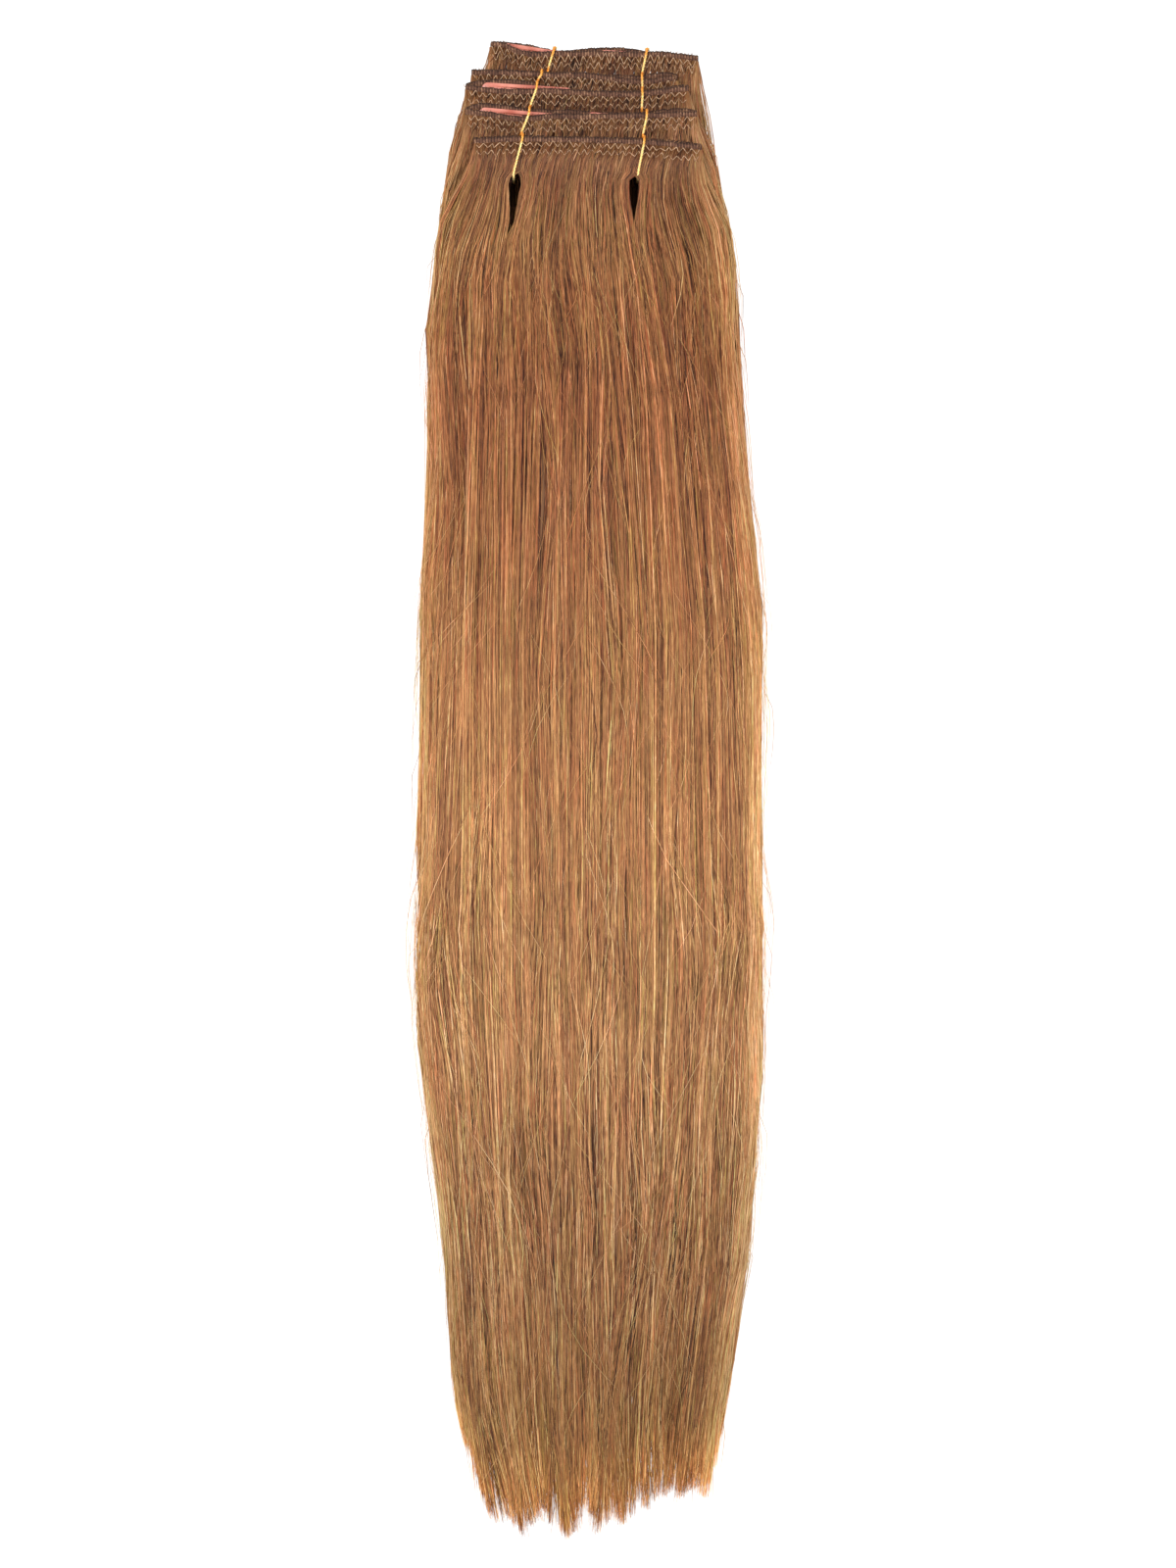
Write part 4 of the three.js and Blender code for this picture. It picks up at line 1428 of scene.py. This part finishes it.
    def core(self, draft: Draft) -> None:
        """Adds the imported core, a closed body a little inside the strands."""
        plan = self.shape.plan
        top = plan.up * BUNDLE.seam_pitch
        start, end = top - self.core_start, self.core_end - self.core_tip
        rows, columns = self.core_rows, self.core_columns
        along = np.linspace(0, 1, rows)
        y = start + (end - start) * along
        share = -np.cos(np.linspace(0, math.pi, columns)) * self.core_spread
        grid_y, grid_s = np.meshgrid(y, share, indexing="ij")
        x = self.share_x(grid_s, grid_y, np.full_like(grid_y, top)) + self.flow(grid_s, top - grid_y)
        full = np.minimum(1.0, np.minimum(along / 0.05, (1 - along) / 0.08))[:, None] * 0.92 + 0.08
        side = np.sqrt(np.clip(1 - np.square(grid_s / 0.95), 0.02, 1))
        level = self.lie(x, grid_y, np.full_like(x, 0.55))
        half = (self.lie(x, grid_y, np.zeros_like(x)) - self.lie(x, grid_y, np.ones_like(x))) / 2 - 0.35
        half = np.maximum(half, 0.2) * full * side
        ripple = 0.16 * np.sin(x / 0.9) * np.sin(grid_y / 60 + x)
        above = np.stack([x, grid_y, level + half + ripple], -1)
        below = np.stack([x, grid_y, np.maximum(level - half, 0.6)], -1)[:, ::-1]
        body = np.concatenate([above, below], 1)
        sides = 2 * columns
        numbers = np.stack([np.zeros((rows, sides)), np.repeat(along[:, None], sides, 1)], -1)
        patch = Patch(np.linspace(STRAND_SHARE + 0.02, 0.99, sides + 1), 0.02 + 0.92 * along,
                      centre=(0.8, 0.97), radius=0.01, step=(0.05, 0.0))
        draft.loft(body, numbers, patch, slot=1, flip=True)

    def build(self, finishes: Finishes, lift: float) -> list[bpy.types.Object]:
        """Makes the hair.

        Args:
            finishes: The bundle's materials.
            lift: The offset along Y from the front seam's top to the row's origin.

        Returns:
            The hair's pieces.
        """
        node = f"hair_{self.shape.plan.number}"
        pieces = []
        for split in range(self.splits):
            draft = Draft()
            if split == 0:
                self.core(draft)
            for sort, count in self.counts.items():
                self.strands(draft, sort, count // self.splits)
            name = f"{node}_strands" if self.splits == 1 else f"{node}_strands_{split + 1}"
            piece = draft.build(name, (finishes.hair, finishes.mass), lift)
            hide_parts(node)
            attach(piece, BODY)
            pieces.append(piece)
        return pieces


@dataclass
class SnapClip:
    """A snap clip: a window frame of sheet with a tongue riveted over it, all with softened edges."""

    plan: ClipPlan
    length: float = 34.0
    width: float = 6.4
    tip_width: float = 4.6
    sheet: float = 0.8
    lap: float = 0.1
    rim: float = 1.3
    tongue_width: float = 2.0
    rivet_radius: float = 1.0
    rivet_height: float = 0.2
    gap: float = 1.6
    soften: float = 0.22
    sink: tuple[float, ...] = (-0.3, -0.6, -0.2, -0.1, 0.0)

    def bar(self, x1: float, r1: float, x2: float, r2: float, steps: int = 10) -> Array:
        """Draws a bar with two round ends.

        Args:
            x1: The middle of the first end.
            r1: Its radius.
            x2: The middle of the second end.
            r2: Its radius.
            steps: How many points each end has.

        Returns:
            The outline's points, anticlockwise.
        """
        right = np.linspace(-math.pi / 2, math.pi / 2, steps)
        left = right + math.pi
        return np.concatenate([np.stack([x2 + r2 * np.cos(right), r2 * np.sin(right)], 1),
                               np.stack([x1 + r1 * np.cos(left), r1 * np.sin(left)], 1)])

    def inset(self, outline: Array, by: float) -> Array:
        """Moves an outline's points inwards."""
        ahead = np.roll(outline, -1, 0) - np.roll(outline, 1, 0)
        ahead /= np.linalg.norm(ahead, axis=1, keepdims=True)
        return outline + by * np.stack([-ahead[:, 1], ahead[:, 0]], 1)

    def levels(self, bottom: float) -> list[tuple[float, float]]:
        """The insets and heights of a softened edge, from the bottom up."""
        top = bottom + self.sheet
        slack = self.soften
        return [(slack, bottom), (slack * 0.3, bottom + slack * 0.3), (0.0, bottom + slack),
                (0.0, top - slack), (slack * 0.3, top - slack * 0.3), (slack, top)]

    def slab(self, draft: Draft, outline: Array, bottom: float, place: "Placing") -> None:
        """Adds a plate with softened edges.

        Args:
            draft: The mesh to add to.
            outline: Its outline.
            bottom: The height of its underside.
            place: Where the clip goes.
        """
        rings = [np.column_stack([self.inset(outline, inset), np.full(len(outline), z)])
                 for inset, z in self.levels(bottom)]
        place.loft(draft, rings, closed_ends=True)

    def frame(self, draft: Draft, outer: Array, inner: Array, place: "Placing") -> None:
        """Adds the window frame, a ring with softened edges all round."""
        levels = self.levels(0.0)
        rings = [np.column_stack([self.inset(outer, inset), np.full(len(outer), z)]) for inset, z in levels]
        rings += [np.column_stack([self.inset(inner, -inset), np.full(len(inner), z)])
                  for inset, z in levels[::-1]]
        place.loft(draft, rings + rings[:1], closed_ends=False)

    def build(self, finishes: Finishes, lift: float) -> bpy.types.Object:
        """Makes the clip.

        Args:
            finishes: The bundle's materials.
            lift: The offset along Y from the front seam's top to the row's origin.

        Returns:
            The clip's piece.
        """
        shape = SeamShape(WEFTS[self.plan.weft - 1])
        x = shape.middle + self.plan.side * (self.length + self.gap) / 2 + self.plan.slide
        y = (shape.plan.up * BUNDLE.seam_pitch + (self.plan.proud - 0.5) * self.width
             + self.sink[self.plan.weft - 1])
        turn = math.radians(self.plan.tilt) + (math.pi if self.plan.side > 0 else 0.0)
        place = Placing(np.array([x, y, shape.level + BUNDLE.ply + BUNDLE.clearance]), turn)
        wide, narrow = self.width / 2, self.tip_width / 2
        x1, x2 = -self.length / 2 + narrow, self.length / 2 - wide
        rivet = x1 + self.rivet_radius
        draft = Draft()
        outer = self.bar(x1, narrow, x2, wide)
        inner = self.bar(rivet + 3 * self.rivet_radius, narrow - self.rim, x2, wide - self.rim)
        self.frame(draft, outer, inner, place)
        tongue = self.bar(rivet, self.tongue_width / 2, x2 + wide - self.rim, self.tongue_width / 2)
        self.slab(draft, tongue, self.sheet - self.lap, place)
        self.dome(draft, rivet, place)
        piece = draft.build(f"{self.plan.name}_snap", (finishes.enamel,), lift)
        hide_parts(self.plan.name)
        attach(piece, BODY)
        return piece

    def dome(self, draft: Draft, x: float, place: "Placing") -> None:
        """Adds the rivet's domed head."""
        angles = np.linspace(0, 2 * math.pi, 14, endpoint=False)
        circle = np.stack([np.cos(angles), np.sin(angles)], 1)
        base = 2 * self.sheet - self.lap
        top = base + self.rivet_height
        profile = [(1.0, base - 0.3), (1.0, base), (0.92, top - 0.1), (0.7, top - 0.03), (0.35, top)]
        rings = [np.column_stack([circle * self.rivet_radius * r + [x, 0], np.full(len(circle), z)])
                 for r, z in profile]
        place.loft(draft, rings, closed_ends=True)


@dataclass
class Placing:
    """Turns a clip's own places into the bundle's, and lofts its rings there."""

    offset: Array
    turn: float
    used: int = 0

    def loft(self, draft: Draft, rings: list[Array], closed_ends: bool) -> None:
        """Joins rings into a closed body.

        Args:
            draft: The mesh to add to.
            rings: Rings of equally many points, from the bottom up.
            closed_ends: Whether the first and last rings are filled.
        """
        cos, sin = math.cos(self.turn), math.sin(self.turn)
        spin = np.array([[cos, sin, 0], [-sin, cos, 0], [0, 0, 1]])
        looped = not closed_ends
        body = np.stack(rings[:-1] if looped else rings) @ spin + self.offset
        count, sides = body.shape[:2]
        strip = 0.3 * self.used
        patch = Patch(np.linspace(0.01, 0.93, sides + 1), np.linspace(strip + 0.01, strip + 0.28, len(rings)),
                      centre=(strip + 0.05, 0.97), radius=0.02, step=(0.1, 0.0), turned=True)
        draft.loft(body, np.zeros((count, sides, 2)), patch, looped=looped)
        self.used += 1


@dataclass
class GoldThread:
    """One tying thread: two plies twisted together over the seams, down the slit and back under."""

    plan: ThreadPlan
    twist_pitch: float = 2.2
    ply_radius: float = 0.29
    ply_offset: float = 0.25
    ply_sides: int = 6
    ring_step: float = 0.44
    knot_ply: float = 0.3
    knot_sides: int = 7

    def corners(self) -> Array:
        """Lists the points that the thread passes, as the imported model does."""
        plan = self.plan
        radius = BUNDLE.thread / 2
        off = radius + BUNDLE.clearance
        shapes = [SeamShape(weft) for weft in WEFTS]
        xs = [share * BUNDLE.seam_width for share in (plan.top, *plan.climbs, plan.slit)]
        low = BUNDLE.bed / 2

        def face(index: int) -> float:
            """The thread's height on a seam."""
            return shapes[index].level + BUNDLE.weft_thickness + radius

        def rim(index: int, x: float) -> float:
            """A seam's back edge, where the thread meets it."""
            return float(shapes[index].back_edge(np.array([x]))[0])

        rims = [rim(index, x) for index, x in enumerate(xs[:-1])]
        rims.append(-BUNDLE.slit_drop)
        knot_y = rims[0] + off - 0.2
        points = [(xs[0], knot_y, shapes[0].level + BUNDLE.weft_thickness / 2 + 1.0),
                  (xs[0], knot_y - 0.1, face(0))]
        for index in range(1, len(WEFTS)):
            before, x, after, y = xs[index - 1], xs[index], xs[index + 1], rims[index]
            met = plan.meets[index - 1] * BUNDLE.seam_width
            lead, trail = (min(2.0, 0.25 * gap) for gap in (rims[index - 1] - y, y - rims[index + 1]))
            under = shapes[index].level
            points += [(met + 0.25 * (before - met), y + 0.6 + lead, face(index - 1)),
                       (met, y + 0.5, face(index - 1)), (met, y - 0.4, under - 0.1),
                       (x, y - 0.4, under + 0.1),
                       (x, y + 0.5, under + 0.45 * BUNDLE.weft_thickness), (x, y - 0.1, face(index)),
                       (x + 0.1 * (after - x), y - 0.6 - trail, face(index))]
        slit = plan.slit * BUNDLE.seam_width
        hole = -BUNDLE.slit_drop
        over = face(len(WEFTS) - 1) - 0.3
        points += [(slit, hole + 1.6, over), (slit, hole + 0.2, over - 0.5), (slit, hole - 0.5, over - 2.0),
                   (slit, hole - 0.5, low + 3.0), (slit, hole - 0.5, low + 1.0), (slit, hole + 1.0, low),
                   (slit, hole + 4.0, low), (xs[0], knot_y - 3.0, low), (xs[0], knot_y - 1.0, low),
                   (xs[0], knot_y, low + 1.0),
                   (xs[0], knot_y, shapes[0].level + BUNDLE.weft_thickness / 2 - 1.0)]
        return np.array(points)

    def route(self) -> Array:
        """Rounds the corners and steps evenly along the thread."""
        path = self.corners()
        for _ in range(3):
            near, far = path[:-1] * 0.75 + path[1:] * 0.25, path[:-1] * 0.25 + path[1:] * 0.75
            cut = np.stack([near, far], 1).reshape(-1, 3)
            path = np.concatenate([path[:1], cut[1:-1], path[-1:]])
        reach = np.concatenate([[0.0], np.cumsum(np.linalg.norm(np.diff(path, axis=0), axis=1))])
        even = np.linspace(0, reach[-1], int(reach[-1] / self.ring_step))
        return np.stack([np.interp(even, reach, path[:, k]) for k in range(3)], -1)

    def shade(self, path: Array) -> Array:
        """Paints shade on the gold for a little way below each seam's edge, where the thread comes out from
        under it.

        Args:
            path: The thread's middle line.

        Returns:
            A number for each point, 0 where the painted shade is deepest.
        """
        xs = [share * BUNDLE.seam_width for share in (self.plan.top, *self.plan.climbs)]
        rims = [float(SeamShape(weft).back_edge(np.array([x]))[0]) + 0.5 for weft, x in zip(WEFTS, xs)]
        below = np.array(rims)[None, :] - path[:, 1:2]
        nearest = np.where(below > -0.8, below, 99.0).min(1)
        return np.clip(nearest / 4.5, 0.0, 1.0)

    def build(self, finishes: Finishes, lift: float) -> bpy.types.Object:
        """Makes the thread.

        Args:
            finishes: The bundle's materials.
            lift: The offset along Y from the front seam's top to the row's origin.

        Returns:
            The thread's piece.
        """
        path = self.route()
        tangent = np.gradient(path, axis=0)
        tangent /= np.linalg.norm(tangent, axis=1, keepdims=True)
        side = np.tile([1.0, 0.0, 0.0], (len(path), 1))
        side -= (side * tangent).sum(1, keepdims=True) * tangent
        side /= np.linalg.norm(side, axis=1, keepdims=True)
        other = np.cross(tangent, side)
        angle = 2 * math.pi * np.arange(len(path)) * self.ring_step / self.twist_pitch
        draft = Draft()
        for ply in range(2):
            swing = angle + math.pi * ply
            line = path + self.ply_offset * (np.cos(swing)[:, None] * side + np.sin(swing)[:, None] * other)
            along = np.linspace(0.01, 0.99, len(path))[None]
            radii = np.full((1, len(path)), self.ply_radius)
            column = np.array([TONES * (0.2 + 0.3 * ply)])
            tubes(draft, line[None], radii, self.ply_sides, np.zeros(1), column, along,
                  shade=self.shade(path)[None])
        self.knot(draft, path[0])
        piece = draft.build(f"thread_{self.plan.name}_twist", (finishes.gold,), lift)
        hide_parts(f"thread_{self.plan.name}")
        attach(piece, BODY)
        return piece

    def knot(self, draft: Draft, start: Array) -> None:
        """Adds the knot, a small overhand turn of the thread.

        Args:
            draft: The mesh to add to.
            start: Where the thread begins.
        """
        angle = np.linspace(0, 4 * math.pi, 40)
        middle = start + np.array([0.0, 0.0, -1.0])
        ring = np.stack([0.55 * np.sin(angle), 0.3 * np.sin(1.5 * angle) - 0.1, 0.6 * np.cos(angle)], -1)
        along = np.linspace(0.01, 0.99, len(angle))[None]
        radii = np.full((1, len(angle)), self.knot_ply)
        tubes(draft, (middle + ring)[None], radii, self.knot_sides, np.zeros(1),
              np.array([TONES * 0.8]), along)


@dataclass
class Studio:
    """The pale floor, soft lights and the camera, which looks straight down."""

    view_height: float = 570.8
    camera_height: float = 2600.0
    middle: tuple[float, float] = (-0.5, 1.8)
    aim_level: float = 12.0
    sensor: float = 36.0
    floor_size: float = 16.0
    world_strength: float = 0.7

    def floor(self) -> None:
        """Lays the floor just under the hair."""
        half = self.floor_size / 2
        mesh = bpy.data.meshes.new("floor")
        corners = [(-half, -half, 0), (half, -half, 0), (half, half, 0), (-half, half, 0)]
        mesh.from_pydata(corners, [], [(0, 1, 2, 3)])
        mesh.materials.append(FloorFinish().build())
        floor = bpy.data.objects.new("floor", mesh)
        floor.location.z = -0.0003
        bpy.context.scene.collection.objects.link(floor)

    def light(self, name: str, place: tuple[float, float, float], size: float, power: float) -> None:
        """Hangs one soft light that faces the bundle.

        Args:
            name: Its name.
            place: Where it hangs, in metres.
            size: The side of its square panel, in metres.
            power: Its power in watts.
        """
        lamp = bpy.data.lights.new(name, "AREA")
        lamp.shape, lamp.size, lamp.energy = "SQUARE", size, power
        panel = bpy.data.objects.new(name, lamp)
        panel.location = place
        panel.rotation_euler = (-Vector(place)).to_track_quat("-Z", "Y").to_euler()
        bpy.context.scene.collection.objects.link(panel)

    def camera(self) -> None:
        """Sets the camera straight above the bundle."""
        data = bpy.data.cameras.new("camera")
        data.sensor_fit, data.sensor_width = "AUTO", self.sensor
        distance = self.camera_height - self.aim_level
        data.lens = self.sensor * distance / self.view_height
        data.clip_end = 50.0
        camera = bpy.data.objects.new("camera", data)
        camera.location = (self.middle[0] * MM, self.middle[1] * MM, self.camera_height * MM)
        bpy.context.scene.collection.objects.link(camera)
        bpy.context.scene.camera = camera

    def build(self) -> None:
        """Sets up the whole studio."""
        self.floor()
        self.light("key", (-0.9, 0.9, 1.9), 1.0, 30.0)
        self.light("fill", (1.0, 0.3, 1.8), 1.4, 16.0)
        self.light("foot", (0.1, -1.4, 1.4), 1.2, 12.0)
        world = bpy.data.worlds.new("studio")
        world.use_nodes = True
        world.node_tree.nodes["Background"].inputs["Color"].default_value = (1.0, 1.0, 1.0, 1.0)
        world.node_tree.nodes["Background"].inputs["Strength"].default_value = self.world_strength
        bpy.context.scene.world = world
        bpy.context.scene.view_settings.view_transform = "Standard"
        self.camera()


def hair_of(shape: SeamShape) -> Hair:
    """Plans the hair of one weft: the most strands on the front one, and only what shows on the rest.

    Args:
        shape: The weft's seam.

    Returns:
        The weft's hair.
    """
    number = shape.plan.number
    if number == len(WEFTS):
        counts = {Tress.LONG: 3180, Tress.SURFACE: 7500, Tress.TIP: 1800, Tress.STRAY: 960,
                  Tress.FRINGE: 150, Tress.FUZZ: 170}
        return Hair(shape, seed=205, counts=counts, splits=3, under_share=0.1)
    counts = {Tress.LONG: 380 if number > 1 else 850, Tress.ROOT: 560, Tress.TIP: 260, Tress.STRAY: 110,
              Tress.FRINGE: 130, Tress.SIDE: 60, Tress.FUZZ: 170}
    return Hair(shape, seed=200 + number, counts=counts, clumps=60, under_share=0.3 if number > 1 else 0.55,
                edge_bias=0.7 if number > 1 else 0.3)


def report(pieces: Sequence[bpy.types.Object]) -> int:
    """Reports each piece through logging.

    Args:
        pieces: The new pieces.

    Returns:
        How many triangles they have in all.
    """
    total = 0
    for piece in pieces:
        faces = sum(len(polygon.vertices) - 2 for polygon in piece.data.polygons)
        LOG.info("%s: %d triangles", piece.name, faces)
        total += faces
    return total


def main() -> None:
    """Builds the bundle and its studio, and reports each piece."""
    logging.basicConfig(level=logging.INFO, format="%(name)s: %(message)s")
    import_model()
    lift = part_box("hair_5")[0][1] / MM + BUNDLE.hair_length
    Studio().build()
    finishes = Finishes.make()
    total = 0
    for plan in WEFTS:
        shape = SeamShape(plan)
        total += report([Seam(shape, seed=100 + plan.number).build(finishes, lift)])
        total += report(hair_of(shape).build(finishes, lift))
    total += report([SnapClip(clip).build(finishes, lift) for clip in CLIPS])
    total += report([GoldThread(thread).build(finishes, lift) for thread in THREADS])
    LOG.info("total: %d triangles", total)


if __name__ == "__main__":
    main()
